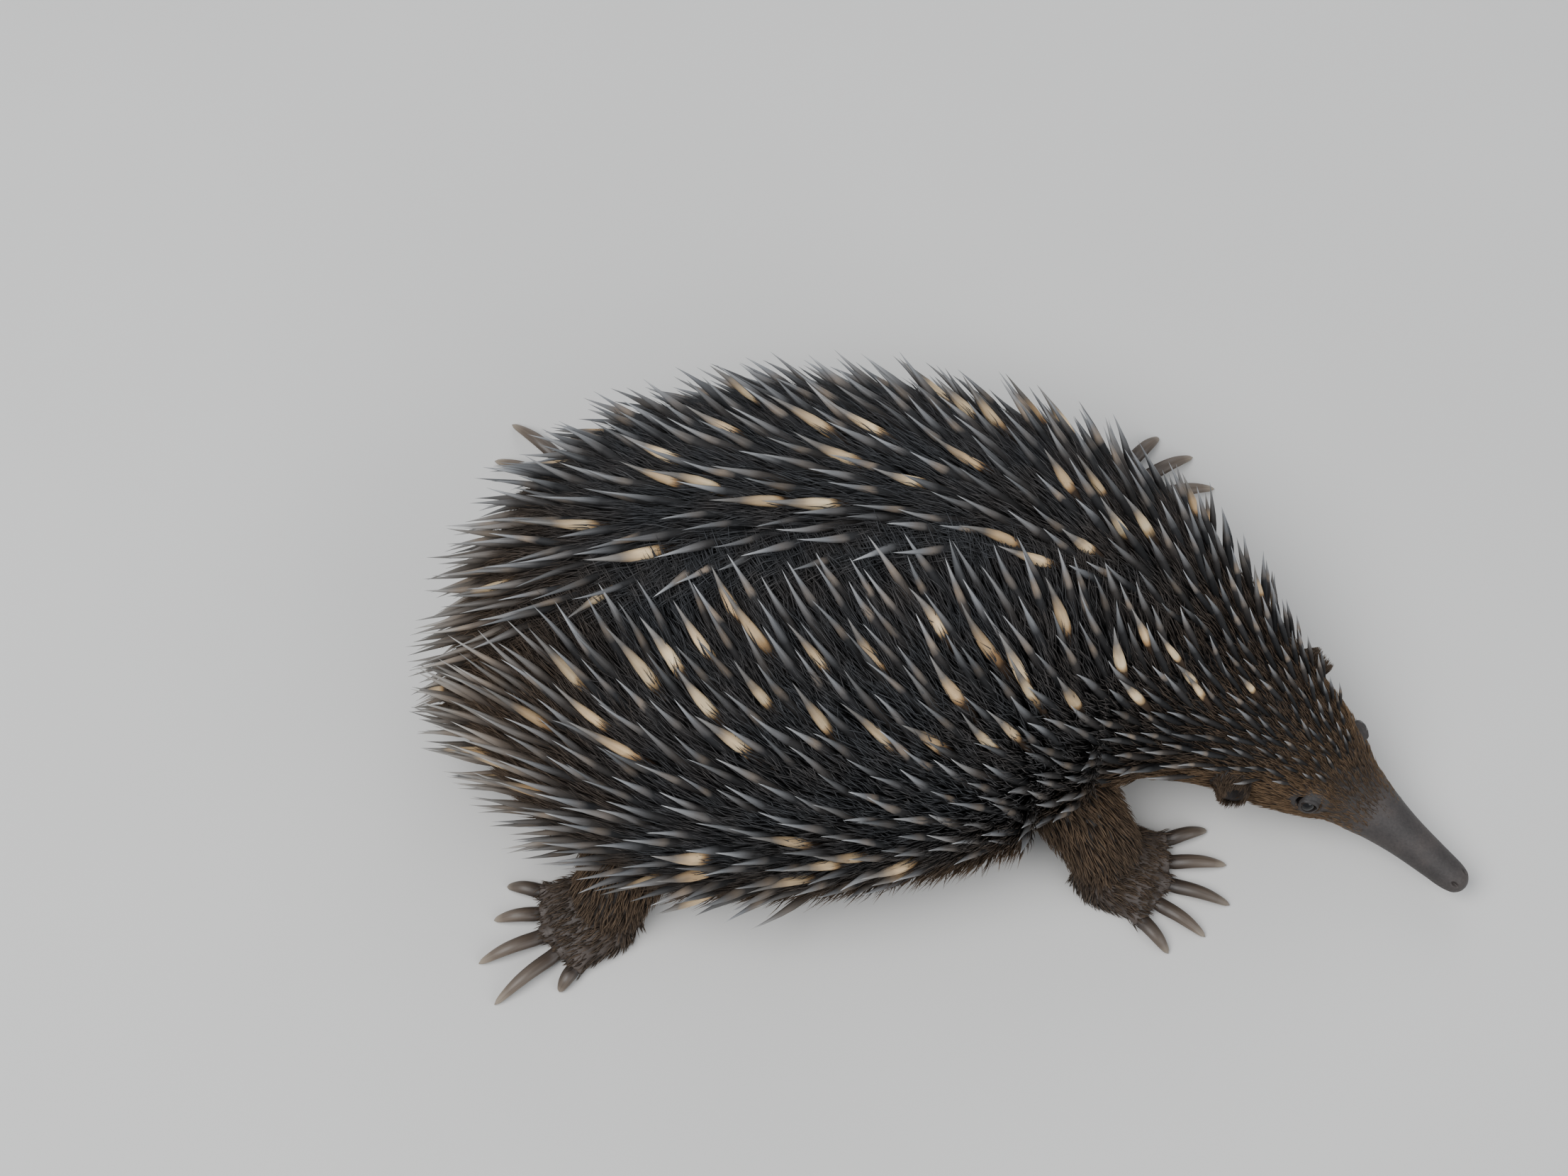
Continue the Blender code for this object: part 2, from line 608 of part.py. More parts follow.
def palm_middles(kind, side):
    """The middles of the sole of a foot, and the way that it points."""
    headings, (behind, before), _ = FEET[kind]
    heading = math.radians(headings[side])
    forward = np.array([math.cos(heading), math.sin(heading), 0.0])
    ankle = leg_path(kind, side)[-1]
    ankle[2] = PALM_MIDDLE
    return [ankle + forward * (behind + share * (before - behind)) for share, *_ in PALM], forward


def palm(name, kind, side, grown=0.0):
    middles, _ = palm_middles(kind, side)
    _, widths, heights = zip(*PALM)
    return tube(name, middles, widths, heights, FOOT_AROUND, grown)


def leg(kind, side, trunk_stops):
    """A short thick leg from the body down to the top of its foot."""
    path, radii = leg_path(kind, side), np.array(LEGS[kind][1])
    knots = np.linspace(0, 1, len(path))
    stops = np.linspace(0, 1, LEG_RINGS)
    middles = smooth_curve(knots, path)(stops)
    radii = smooth_curve(knots, radii[:, None])(stops)[:, 0]
    made = tube(f"{kind}_leg_{side}", middles, radii, radii, LEG_AROUND)
    trunk = body_length("trunk", trunk_stops, grown=GAP)
    foot = [palm("palm", kind, side, grown=GAP), *toes(kind, side, grown=GAP)]
    combine(made, [trunk, *foot], "DIFFERENCE")


def toe_lines(kind, side):
    """Where each toe starts and ends and the way it points, from the first toe to the last."""
    middles, forward = palm_middles(kind, side)
    left = np.array([-forward[1], forward[0], 0.0])
    for number in range(-2, 3):
        across = number * SIDES[side]
        fan = math.radians(across * TOE_FAN)
        ahead = math.cos(fan) * forward + math.sin(fan) * left
        start = middles[-1] - forward * (TOE_BACK + OUTER_TOE_BACK * abs(number)) + left * across * TOE_STEP
        start[2] = TOE_MIDDLE
        yield start, start + ahead * TOE_LENGTH, ahead


def toes(kind, side, grown=0.0):
    radii = [TOE_RADIUS, TOE_RADIUS * TOE_TAPER]
    lines = toe_lines(kind, side)
    return [tube("toe", [start, end], radii, radii, TOE_AROUND, grown) for start, end, _ in lines]


def foot_and_claws(kind, side, trunk_stops):
    """A flat-soled foot, clear of the belly, with five short toes and a claw in front of each."""
    made = palm(f"{kind}_foot_{side}", kind, side)
    combine(made, [body_length("trunk", trunk_stops, grown=GAP)], "DIFFERENCE")
    combine(made, toes(kind, side), "UNION")
    for number, (length, (_, end, ahead)) in enumerate(zip(FEET[kind][2], toe_lines(kind, side))):
        claw(f"claw_{kind}_{side}_{number + 1}", end + ahead * GAP, ahead, length * MM)


def claw(name, start, ahead, length):
    """A long blunt claw that leaves its toe level, then arches down to just above the floor."""
    shares = np.array([0.0, 0.1, 0.5, 0.85, 1.0])
    taper = np.array([1.0, 1.05, 0.9, 0.55, 0.2])
    heights = start[2] + (CLAW_TIP_HEIGHT - start[2]) * np.clip((shares - 0.1) / 0.9, 0, 1) ** 1.6
    arch = length * CLAW_ARCH * np.sin(math.pi * np.clip((shares - 0.1) / 0.9, 0, 1))
    middles = start + np.outer(shares * length, ahead)
    middles[:, 2] = heights + arch
    return tube(name, middles, taper * CLAW_WIDTH, taper * CLAW_HEIGHT, CLAW_AROUND)


def build():
    rows = spine_rows()
    cuts = body_cuts(rows)
    ends = [*list(cuts.values())[1:], KNOTS[-1]]
    stops = {}
    for (name, start), end in zip(cuts.items(), ends):
        stops[name] = ring_stops(start, end, HEAD_RING_STEP if name in ("head", "snout") else RING_STEP)
    body = {name: body_length(name, stops[name]) for name in cuts}
    eyes_and_lids(body["head"])
    cut_snout(body["snout"])
    trunk_stops = np.unique(np.concatenate([stops[name] for name in ("rump", "back", "shoulders", "neck")]))
    for side in SIDES:
        ear(side, np.union1d(stops["neck"], stops["head"]))
        for kind in LEGS:
            leg(kind, side, trunk_stops)
            foot_and_claws(kind, side, trunk_stops)
    others = {made.name: tree_of(made) for made in bpy.data.objects}
    for name, shapes in spines(rows, cuts, others).items():
        if shapes:
            combine(body[name], [loft("spine", rings, flat_sided=True) for rings in shapes], "UNION")
    for made in bpy.data.objects:
        finish(made)


build()
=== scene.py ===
import math

import bmesh
import bpy
import numpy as np
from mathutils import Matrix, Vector
from mathutils.bvhtree import BVHTree
from mathutils.kdtree import KDTree


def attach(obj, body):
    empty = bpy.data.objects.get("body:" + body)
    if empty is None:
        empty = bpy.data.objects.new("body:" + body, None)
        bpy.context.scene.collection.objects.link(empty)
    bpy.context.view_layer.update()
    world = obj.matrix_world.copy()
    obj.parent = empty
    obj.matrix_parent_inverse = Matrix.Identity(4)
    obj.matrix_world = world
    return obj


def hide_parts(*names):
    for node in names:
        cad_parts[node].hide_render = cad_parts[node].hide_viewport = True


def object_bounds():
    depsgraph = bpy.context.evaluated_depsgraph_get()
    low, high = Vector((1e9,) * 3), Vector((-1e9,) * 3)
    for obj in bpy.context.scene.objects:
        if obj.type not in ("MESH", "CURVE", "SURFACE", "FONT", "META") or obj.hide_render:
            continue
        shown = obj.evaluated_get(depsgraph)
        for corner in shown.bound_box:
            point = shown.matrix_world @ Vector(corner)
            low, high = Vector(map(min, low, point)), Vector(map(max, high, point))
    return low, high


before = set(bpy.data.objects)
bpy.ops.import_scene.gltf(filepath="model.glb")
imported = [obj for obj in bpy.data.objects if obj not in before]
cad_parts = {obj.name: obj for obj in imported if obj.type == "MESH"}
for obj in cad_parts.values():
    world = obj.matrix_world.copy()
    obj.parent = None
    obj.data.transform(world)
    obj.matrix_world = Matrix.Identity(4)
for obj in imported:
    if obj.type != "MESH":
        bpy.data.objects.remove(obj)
cad_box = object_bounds()

MM = 0.001

# The body's stations, as the CAD has them: middle, half width, height above and depth below the middle.
STATIONS = {
    "tail tip": (-0.168, -0.0170, 0.0320, 0.005, 0.005, 0.005),
    "tail": (-0.158, -0.0165, 0.0350, 0.018, 0.017, 0.015),
    "tail root": (-0.146, -0.0155, 0.0400, 0.036, 0.031, 0.029),
    "rump": (-0.129, -0.0135, 0.0450, 0.063, 0.048, 0.045),
    "hips": (-0.102, -0.0095, 0.0490, 0.087, 0.065, 0.054),
    "loin": (-0.064, -0.0040, 0.0510, 0.102, 0.077, 0.058),
    "back": (-0.020, 0.0010, 0.0510, 0.106, 0.084, 0.058),
    "ribs": (0.030, 0.0045, 0.0500, 0.101, 0.085, 0.057),
    "shoulders": (0.075, 0.0055, 0.0490, 0.089, 0.077, 0.055),
    "nape": (0.112, 0.0010, 0.0475, 0.072, 0.063, 0.048),
    "neck": (0.142, -0.0100, 0.0450, 0.055, 0.049, 0.040),
    "occiput": (0.167, -0.0240, 0.0415, 0.042, 0.037, 0.033),
    "crown": (0.188, -0.0375, 0.0370, 0.033, 0.028, 0.027),
    "brow": (0.206, -0.0500, 0.0315, 0.025, 0.020, 0.021),
    "beak root": (0.220, -0.0605, 0.0265, 0.0160, 0.0125, 0.0140),
    "beak": (0.238, -0.0745, 0.0205, 0.0098, 0.0082, 0.0088),
    "beak end": (0.259, -0.0915, 0.0150, 0.0066, 0.0057, 0.0056),
    "beak tip": (0.265, -0.0965, 0.0140, 0.0045, 0.0038, 0.0036),
}
BELLY_SQUARE = 0.6
BACK_SQUARE = 0.15
ROUND_WIDTH = 20 * MM
SQUARE_WIDTH = 85 * MM

# The spines, as the CAD has them: reach from the top of the back, length, half thickness and lift, then how
# far they turn to the left from straight back by the furrow, on the flank and at the coat's lower edge, on
# the right side and on the left, and how much more they lift at the right side's lower edge.
COAT = {
    "tail tip": (150, 24, 1.5, 30, -12, -12, -4, 12, 12, 4, 5),
    "tail root": (126, 31, 1.9, 36, 34, 28, 10, 0, 14, 5, 5),
    "rump": (114, 35, 2.1, 35, 54, 50, 18, -12, 20, 6, 5),
    "hips": (105, 35, 2.2, 31, 68, 54, 20, -22, 30, 9, 4),
    "loin": (101, 34, 2.2, 28, 76, 50, 25, -38, 42, 12, 1),
    "back": (99, 34, 2.2, 27, 66, 50, 34, -34, 38, 11, -4),
    "ribs": (98, 33, 2.2, 27, 57, 46, 44, -26, 28, 8, -11),
    "shoulders": (96, 31, 2.1, 28, 57, 40, 58, -4, 26, 8, -18),
    "nape": (93, 26, 1.9, 30, 44, 30, 55, 0, 14, 4, -18),
    "neck": (86, 20, 1.6, 30, 20, 16, 36, -2, 6, 2, -13),
    "occiput": (74, 15, 1.3, 28, 6, 4, 10, -2, 2, 0, -4),
    "crown": (56, 10, 1.0, 26, 0, 0, 0, 0, 0, 0, 5),
    "brow": (30, 6, 0.8, 22, 0, 0, 0, 0, 0, 0, 5),
}
# Shorter spines stand closer together, by this power of their share of the full length.
FULL_LENGTH = 34.0
FINER = 0.45
# The shares of the reach over which the turn changes, down each side and towards the coat's edge.
RIGHT_CHANGES = (0.10, 0.45)
LEFT_CHANGES = (0.0, 0.38)
EDGE_CHANGES = (0.55, 0.95)
MIDDLE_LIFT = -3.0
LEFT_EDGE_LIFT = 5.0

# The render's spines stand closer together than the solid ones.
ROW_STEP = 12.0 * MM
SPINE_STEP = 11.6 * MM
SPINE_SEED = 23
TAIL_CROWDING = 0.82
RUMP_CROWDING = 0.74
EDGE_JITTER = 0.06
# Where the rows draw together in the bend of the neck, roots nearer than this share of a step are left out.
LEAST_APART = 0.60
ROOT_JITTER = 0.20
LIFT_JITTER = 6.0
TURN_JITTER = 8.0
LENGTH_JITTER = 0.14
THICK_JITTER = 0.16
SPINE_BEND = 0.035
DARK_THICK = 0.90
PALE_THICK = 1.15
FURROW_CROSSED = 3 * MM
LEAST_LEFT = 0.72
SPINE_MARGIN = 0.4 * MM
SPINE_FLOOR = 3 * MM
# A spine that would leave the CAD's box is made shorter by this factor, up to this many times.
SHORTER = 0.94
SHORTENINGS = 12
ROW_POINTS = 241
SPINE_SIDES = 10
# Half thickness along a spine, from its root in the skin, where the share is below 0, to its tip.
SPINE_ROOT = 0.45
SPINE_PROFILE = (
    (-SPINE_ROOT, 0.45), (-0.20, 0.72), (0.02, 0.94), (0.20, 1.00),
    (0.38, 0.92), (0.56, 0.66), (0.72, 0.37), (0.88, 0.16),
)
PALE_SHARE = 0.10
LEAST_PALE_LENGTH = 12
# Where the photograph shows pale spines, as pixels at about their middles.
PALE_SEEN = (
    (1009, 592), (933, 663), (914, 628), (1044, 699), (1136, 720), (875, 787), (818, 751),
    (826, 856), (1000, 890), (1120, 908), (1203, 577), (1341, 647), (1285, 686), (1197, 645),
    (1390, 747), (1515, 789), (1325, 856), (1386, 893), (1428, 923), (1490, 879), (1231, 912),
    (1575, 986), (1566, 901), (1499, 981), (1383, 1039), (1664, 941), (1745, 963), (1687, 977),
    (1515, 1142), (1463, 1169), (1160, 600), (1448, 775), (990, 661), (1062, 884), (1022, 836),
    (1442, 963), (1165, 998), (1344, 988), (1008, 972), (1070, 977), (938, 922), (892, 939),
    (811, 985), (772, 939), (725, 1010), (1013, 1037), (1037, 546), (687, 833), (850, 1064),
    (1531, 669), (1530, 1046), (1434, 1037), (1307, 1022), (1225, 1052), (1619, 888), (1652, 899),
)
# How near in pixels a spine has to be with its middle, which lies at this share of its length, and how many
# pixels its outer part has to show for each metre of its length.
PALE_REACH = 30
SEEN_MIDDLE = 0.45
SEEN_LENGTH = 1100
# The part of the photograph that shows the animal, as the corners of its outline in pixels.
SHOWN = (
    (560, 830), (640, 760), (690, 640), (850, 545), (1000, 495), (1200, 520), (1420, 620), (1520, 720),
    (1800, 880), (1780, 1010), (1570, 1120), (1420, 1260), (1180, 1180), (900, 1120), (640, 1040),
)
# The spines' colours: a tan band that some dark ones have, and the colours from root to tip of a grey or
# cream spine and of a brown or orange one.
TAN_BAND = (0.190, 0.145, 0.105)
DARK_SPINE = (
    (
        (0.0, (0.010, 0.010, 0.010)), (0.54, (0.015, 0.015, 0.016)), (0.66, (0.070, 0.071, 0.074)),
        (0.77, (0.118, 0.121, 0.126)), (0.91, (0.205, 0.210, 0.217)), (1.0, (0.360, 0.366, 0.372)),
    ),
    (
        (0.0, (0.022, 0.016, 0.012)), (0.40, (0.050, 0.037, 0.028)), (0.58, (0.120, 0.096, 0.076)),
        (0.74, (0.185, 0.164, 0.142)), (0.90, (0.250, 0.235, 0.215)), (1.0, (0.360, 0.345, 0.320)),
    ),
)
PALE_SPINE = (
    (
        (0.0, (0.014, 0.011, 0.010)), (0.35, (0.055, 0.034, 0.019)), (0.42, (0.560, 0.385, 0.200)),
        (0.48, (0.860, 0.690, 0.440)), (0.58, (0.700, 0.535, 0.325)), (0.67, (0.330, 0.258, 0.178)),
        (0.75, (0.145, 0.133, 0.120)), (1.0, (0.240, 0.240, 0.238)),
    ),
    (
        (0.0, (0.014, 0.011, 0.010)), (0.35, (0.048, 0.028, 0.016)), (0.42, (0.400, 0.215, 0.090)),
        (0.49, (0.620, 0.390, 0.185)), (0.60, (0.490, 0.315, 0.160)), (0.69, (0.270, 0.198, 0.128)),
        (0.76, (0.135, 0.116, 0.098)), (1.0, (0.220, 0.212, 0.200)),
    ),
)

# The fur: the depth from the solid's surface down to the skin, the length of its tufts, both in
# millimetres, their lift in degrees, and how brown they are, from black at 0.
FUR = {
    "tail tip": (3.5, 10.0, 34.0, 0.55),
    "tail root": (5.0, 16.0, 38.0, 0.58),
    "rump": (6.0, 22.0, 39.0, 0.52),
    "loin": (6.0, 26.0, 40.0, 0.05),
    "ribs": (6.0, 26.0, 40.0, 0.03),
    "shoulders": (6.0, 24.0, 40.0, 0.07),
    "nape": (5.5, 19.0, 38.0, 0.15),
    "neck": (5.0, 14.0, 34.0, 0.30),
    "occiput": (4.0, 9.5, 28.0, 0.50),
    "crown": (3.0, 7.5, 25.0, 0.62),
    "brow": (2.0, 6.0, 22.0, 0.72),
    "beak root": (0.7, 3.8, 16.0, 0.66),
    "beak": (0.0, 1.5, 10.0, 0.50),
    "beak tip": (0.0, 1.0, 10.0, 0.50),
}
FUR_SEED = 5
BODY_TUFTS = 54000
HEAD_TUFTS = 15500
LIMB_TUFTS = 12000
EAR_TUFTS = 1100
TUFTS_A_PIECE = 12000
TUFTS_A_CLUMP = 7
CLUMP = 0.30
TUFT_WIDTH = 0.95 * MM
TUFT_FLATNESS = 0.55
TUFT_MARGIN = 0.2 * MM
# How much the tufts vary: turn and lift in degrees, with the least and most lift, and the rest as shares.
TUFT_TURN_JITTER = 11
TUFT_LIFT_JITTER = 6
TUFT_LIFTS = (6, 70)
TUFT_LENGTH_JITTER = 0.25
TUFT_WIDTH_JITTER = 0.3
TUFT_CURL = 0.07
# The limbs' fur by the share of the way down the leg and out over the foot: the length and width of its
# tufts in millimetres, and their lift in degrees.
LIMB_LENGTHS = ((0, 0.4, 0.62, 0.8, 1.0), (11, 9.5, 6.5, 4.2, 3.0))
LIMB_WIDTHS = ((0, 0.6, 1), (0.9, 0.75, 0.55))
LIMB_LIFTS = ((0, 0.6, 1), (30, 24, 14))
# No fur grows on a sole, which is lower than this, or nearer to a claw's root than this.
SOLE = 1.5 * MM
NEAR_CLAW = 4.0 * MM
# The length, width, lift and brown of the ears' tufts.
EAR_FUR = (5.0 * MM, 0.45 * MM, 16.0, 0.55)
TUFT_SIDES = 3
TUFT_RINGS = ((0.0, 0.75), (0.35, 1.0), (0.72, 0.62))
SAMPLE_GRID = (240, 241)
PATCH = 0.003

# How far apart the skin's rings are at each station, in millimetres.
RINGS = {
    "tail tip": 1.5,
    "tail": 3.5,
    "shoulders": 4.5,
    "neck": 3.0,
    "occiput": 1.7,
    "crown": 1.0,
    "brow": 0.7,
    "beak root": 0.55,
    "beak end": 0.32,
    "beak tip": 0.22,
}
AROUND = 160
FINE_STEPS = 6000
FIRST_RING = 0.35 * MM
LAST_RING = 0.05 * MM
SKIN_FLOOR = 2.5 * MM
LEAST_SKIN = 0.8 * MM
ROUND_END = 4.4 * MM
ROUND_TAIL = 5.0 * MM

EYE_ANGLE = 60.0
EYE_RADIUS = 4.5 * MM
EYE_SUNK = 3.0 * MM
EYE_RINGS = 40
EYE_AROUND = 48
EYEBALL = 0.985 * EYE_RADIUS
CORNEA = 0.28 * MM
NOSTRIL_ANGLE = 38.0
NOSTRIL_BEHIND_TIP = 4.5 * MM
MOUTH_LENGTH = 15 * MM
MOUTH_FADE = 3 * MM
MOUTH_BELOW = 0.8 * MM
MOUTH_DEPTH = 0.75 * MM
MOUTH_WIDTH = 0.26 * MM
# Which point of every ring follows the mouth, on each side.
MOUTH_LINE = 44
LEAST_JAW = 2.4 * MM
LIP_HEIGHT = 0.14 * MM
LIP_AWAY = 0.75 * MM
LIP_WIDTH = 0.35 * MM
# Soft rises and dips of the skin on both sides of the head: the station, how far ahead of it, the angle
# from the top, and how tall, long and wide they are, in millimetres and degrees.
RELIEF = (
    ("brow", -5, 34, 0.9, 8, 20),
    ("crown", 9, 112, 1.1, 11, 26),
    ("beak root", -5, 96, -0.6, 5, 30),
    ("beak root", -2, 0, -0.5, 6, 26),
    ("beak tip", -7, 70, 0.25, 6, 60),
)
# Where the skin is partly bare: how much so at most, how far that reaches, and over how far it fades.
BARE_BY_EYE = (0.35, 9 * MM, 3 * MM)
BARE_BY_EAR = (0.6, 14 * MM, 4 * MM)
EAR_PLACE = 0.66
EAR_ANGLE = 82.0
EAR_TURN = 18.0

# A form set into the skin replaces what lies under it, out to the first factor times its first ring. The
# second factor is for a quick first look at how far off a point is.
HOLE = 1.03
HOLE_SEARCH = 1.3
# Points around each form that is set into the skin of the head, and the rings of those forms.
EYE_POINTS = 56
EAR_POINTS = 48
NOSTRIL_POINTS = 28
EYE_ROWS = (
    # backwards, round, height, how far it follows the ball, and how thick the lid is over it, in mm
    (9.4, 8.8, 0.00, 0.0, 0.0), (8.3, 7.6, 0.20, 0.0, 0.0), (7.2, 6.5, 0.65, 0.05, 0.6),
    (6.3, 5.6, 1.15, 0.2, 0.6), (5.6, 4.9, 1.50, 0.5, 0.62), (5.1, 4.35, 1.80, 0.8, 0.62),
    (4.8, 4.05, 1.90, 1.0, 0.40), (4.55, 3.75, 1.90, 1.0, 0.44), (4.2, 3.4, 1.60, 1.0, 0.66),
    (3.8, 2.95, 1.60, 1.0, 0.70), (3.55, 2.65, 1.60, 1.0, 0.60), (3.42, 2.52, 1.60, 1.0, 0.50),
    (3.38, 2.48, 1.60, 1.0, 0.05), (3.3, 2.4, 1.60, 1.0, -0.8), (2.2, 1.6, -1.0, 0.0, 0.0),
)
EAR_ROWS = (
    # backwards, round, height
    (9.6, 12.0, 0.0), (8.8, 11.2, 0.2), (8.0, 10.4, 0.7), (7.4, 9.7, 1.5), (6.9, 9.1, 2.4), (6.5, 8.6, 3.2),
    (6.1, 8.2, 3.9), (5.7, 7.8, 4.3), (5.25, 7.35, 4.3), (4.9, 6.95, 3.9), (4.6, 6.5, 3.1), (4.2, 5.9, 2.0),
    (3.6, 5.0, 0.8), (2.7, 3.9, -0.4), (1.7, 2.6, -1.6), (0.8, 1.4, -2.5),
)
# The rows up the outside of an ear, and from where to where they have fur.
OUTER_ROWS = 8
FURRED_ROWS = (0.2, 6.4)
NOSTRIL_ROWS = (
    (2.7, 1.85, 0.0), (2.35, 1.5, 0.12), (2.05, 1.22, 0.16), (1.85, 1.02, 0.02),
    (1.65, 0.85, -0.3), (1.35, 0.65, -0.7), (0.8, 0.4, -1.1),
)

LEGS = {
    "front": (
        ((0.082, 0.046, 0.036), (0.098, 0.064, 0.028), (0.109, 0.078, 0.018), (0.113, 0.084, 0.008)),
        (0.021, 0.0195, 0.0175, 0.016),
    ),
    "hind": (
        ((-0.080, 0.054, 0.034), (-0.090, 0.074, 0.026), (-0.098, 0.089, 0.017), (-0.101, 0.094, 0.008)),
        (0.023, 0.0205, 0.018, 0.0165),
    ),
}
# Each foot's headings, how far the palm reaches behind and before the ankle, and its claws' lengths in
# millimetres.
FEET = {
    "front": ({"left": 10.0, "right": -18.0}, (-12 * MM, 22 * MM), (18, 24, 26, 24, 17)),
    "hind": ({"left": 157.0, "right": -157.0}, (-11 * MM, 24 * MM), (10, 33, 28, 19, 14)),
}
PALM = ((0.0, 0.0125, 0.0115), (0.35, 0.0185, 0.0155), (0.75, 0.0205, 0.0110), (1.0, 0.0175, 0.0065))
PALM_MIDDLE = 4.5 * MM
TOE_RADIUS = 4.8 * MM
TOE_LENGTH = 11 * MM
TOE_MIDDLE = 4.2 * MM
TOE_FAN = 17.0
TOE_STEP = 6.6 * MM
TOE_BACK = 3.6 * MM
OUTER_TOE_BACK = 2.7 * MM
LEG_FUR = 2.5 * MM
PALM_FUR = 0.9 * MM
LEG_RINGS, PALM_RINGS, TOE_RINGS = 14, 12, 8
LEG_AROUND, TOE_AROUND = 28, 20
LIMB_VOXEL = 1.1 * MM
TUBE_FLOOR = 0.1 * MM
LIMB_FLOOR = 0.05 * MM
# The limbs lie farther out than this, and behind this, and below one height for the skin's marks and
# another for the fur that would grow into them.
LIMBS_OUT = 0.03
LIMBS_BEHIND = 0.16
MARKS_BELOW = 0.06
FUR_BELOW = 0.065
CLAW_WIDTH = 3.4 * MM
CLAW_HEIGHT = 2.5 * MM
CLAW_TIP_HEIGHT = 1.0 * MM
CLAW_ARCH = 0.10
CLAW_ROOT = 2.6 * MM
CLAW_SEED = 3
CLAW_RINGS = 20
CLAW_AROUND = 20
CLAW_SQUASH = 0.72
CLAW_INSIDE = 0.97
CLAW_TAPER = ((-1.0, 0.8), (0.0, 0.96), (0.1, 1.0), (0.5, 0.88), (0.85, 0.54), (0.96, 0.30), (1.0, 0.06))

SIDES = {"left": 1, "right": -1}
LIMBS = [(kind, side) for kind in LEGS for side in SIDES]
FLESH = ["tail", "rump", "back", "shoulders", "neck", "head", "snout", "ear_left", "ear_right"]
FLESH += [f"{kind}_{part}_{side}" for kind in LEGS for part in ("leg", "foot") for side in SIDES]

CAMERA_TARGET = Vector((-0.0255, 0.02244, 0.06))
CAMERA_ELEVATION = math.radians(68.0)
CAMERA_BACK = np.array([0.0, -math.cos(CAMERA_ELEVATION), math.sin(CAMERA_ELEVATION)])
CAMERA_DISTANCE = 1.58
CAMERA_LENS = 85.0
CAMERA_SENSOR = 36.0
IMAGE = (2212, 1659)
FLOOR_REACH = 40.0
SKY_COLOUR = (0.86, 0.92, 1.0, 1.0)
SKY_STRENGTH = 0.62
LIGHT_TARGET = Vector((0, 0, 0.05))
# Each lamp's place, size and power.
LIGHTS = {
    "key": ((-0.7, -0.4, 1.7), 1.3, 30.0),
    "fill": ((1.3, -1.0, 1.2), 1.6, 14.0),
    "rim": ((0.3, 1.5, 1.0), 1.2, 6.5),
}


def norm(vectors):
    return np.linalg.norm(vectors, axis=-1)


def running(steps):
    """The sum of the steps so far, from 0 on."""
    return np.concatenate([[0.0], np.cumsum(steps)])


def unit(vector):
    return vector / np.maximum(np.linalg.norm(vector, axis=-1, keepdims=True), 1e-12)


def dot(a, b):
    return (a * b).sum(-1, keepdims=True)


def change(value, start, end):
    """From 0 at the start to 1 at the end, and no further on either side."""
    return np.clip((value - start) / (end - start), 0, 1)


def ring_angles(count):
    """Even angles around a ring."""
    return np.linspace(0, math.tau, count, endpoint=False)


def smooth_curve(knots, values):
    """A cubic through the values at the knots that doesn't overshoot, as a function of the knots' axis."""
    step = np.diff(knots)[:, None]
    rise = np.diff(values, axis=0) / step
    before, after = rise[:-1], rise[1:]
    alike = before * after > 0
    mean = 2 * before * after / np.where(alike, before + after, 1.0)
    slope = np.vstack([rise[:1], np.where(alike, mean, 0.0), rise[-1:]])

    def read(at):
        at = np.atleast_1d(at)
        i = np.clip(np.searchsorted(knots, at) - 1, 0, len(knots) - 2)
        h = step[i]
        t = ((at - knots[i]) / h[:, 0])[:, None]
        start = (1 + 2 * t) * (1 - t) ** 2 * values[i] + t * (1 - t) ** 2 * h * slope[i]
        end = t**2 * (3 - 2 * t) * values[i + 1] + t**2 * (t - 1) * h * slope[i + 1]
        return start + end

    return read


def by_station(table):
    """A smooth curve through a table of stations, read at distances along the body."""
    values = np.array([np.atleast_1d(v) for v in table.values()], float)
    return smooth_curve(np.array([ALONG[place] for place in table]), values)


SIZES = np.array(list(STATIONS.values()))
KNOTS = running(norm(np.diff(SIZES[:, :3], axis=0)))
ALONG = dict(zip(STATIONS, KNOTS))
END = KNOTS[-1]
EAR_ALONG = ALONG["occiput"] + EAR_PLACE * (ALONG["crown"] - ALONG["occiput"])
read_sizes = smooth_curve(KNOTS, SIZES)
read_coat = by_station(COAT)
read_fur = by_station(FUR)
read_rings = by_station(RINGS)


def body_frame(along):
    """The body's middle, its directions forwards, left and up, and its sizes."""
    sizes = read_sizes(along)
    ahead = read_sizes(np.minimum(along + 2 * MM, END))[:, :3]
    behind = read_sizes(np.maximum(along - 2 * MM, 0.0))[:, :3]
    forward = unit(ahead - behind)
    left = unit(np.cross([0.0, 0.0, 1.0], forward))
    return sizes[:, :3], forward, left, np.cross(forward, left), sizes[:, 3:]


def section(middle, left, up, sizes, angle, floor):
    """Points around the body, whose section is a rounded square where it is wide, none below the floor."""
    width, rise, drop = sizes.T
    square = change(width, ROUND_WIDTH, SQUARE_WIDTH)
    low = np.cos(angle) < 0
    power = 2 / (2 + square * np.where(low, BELLY_SQUARE, BACK_SQUARE))
    sideways = np.sign(np.sin(angle)) * np.abs(np.sin(angle)) ** power * width
    upwards = np.abs(np.cos(angle)) ** power * np.where(low, -drop, rise)
    points = middle + left * sideways[:, None] + up * upwards[:, None]
    points[:, 2] = np.maximum(points[:, 2], floor)
    return points


def pairs(along, angle):
    return np.broadcast_arrays(np.atleast_1d(along).astype(float), np.atleast_1d(angle).astype(float))


def body_point(along, angle, floor=0.0):
    """The surface of the solids."""
    along, angle = pairs(along, angle)
    middle, _, left, up, sizes = body_frame(along)
    return section(middle, left, up, sizes, angle, floor)


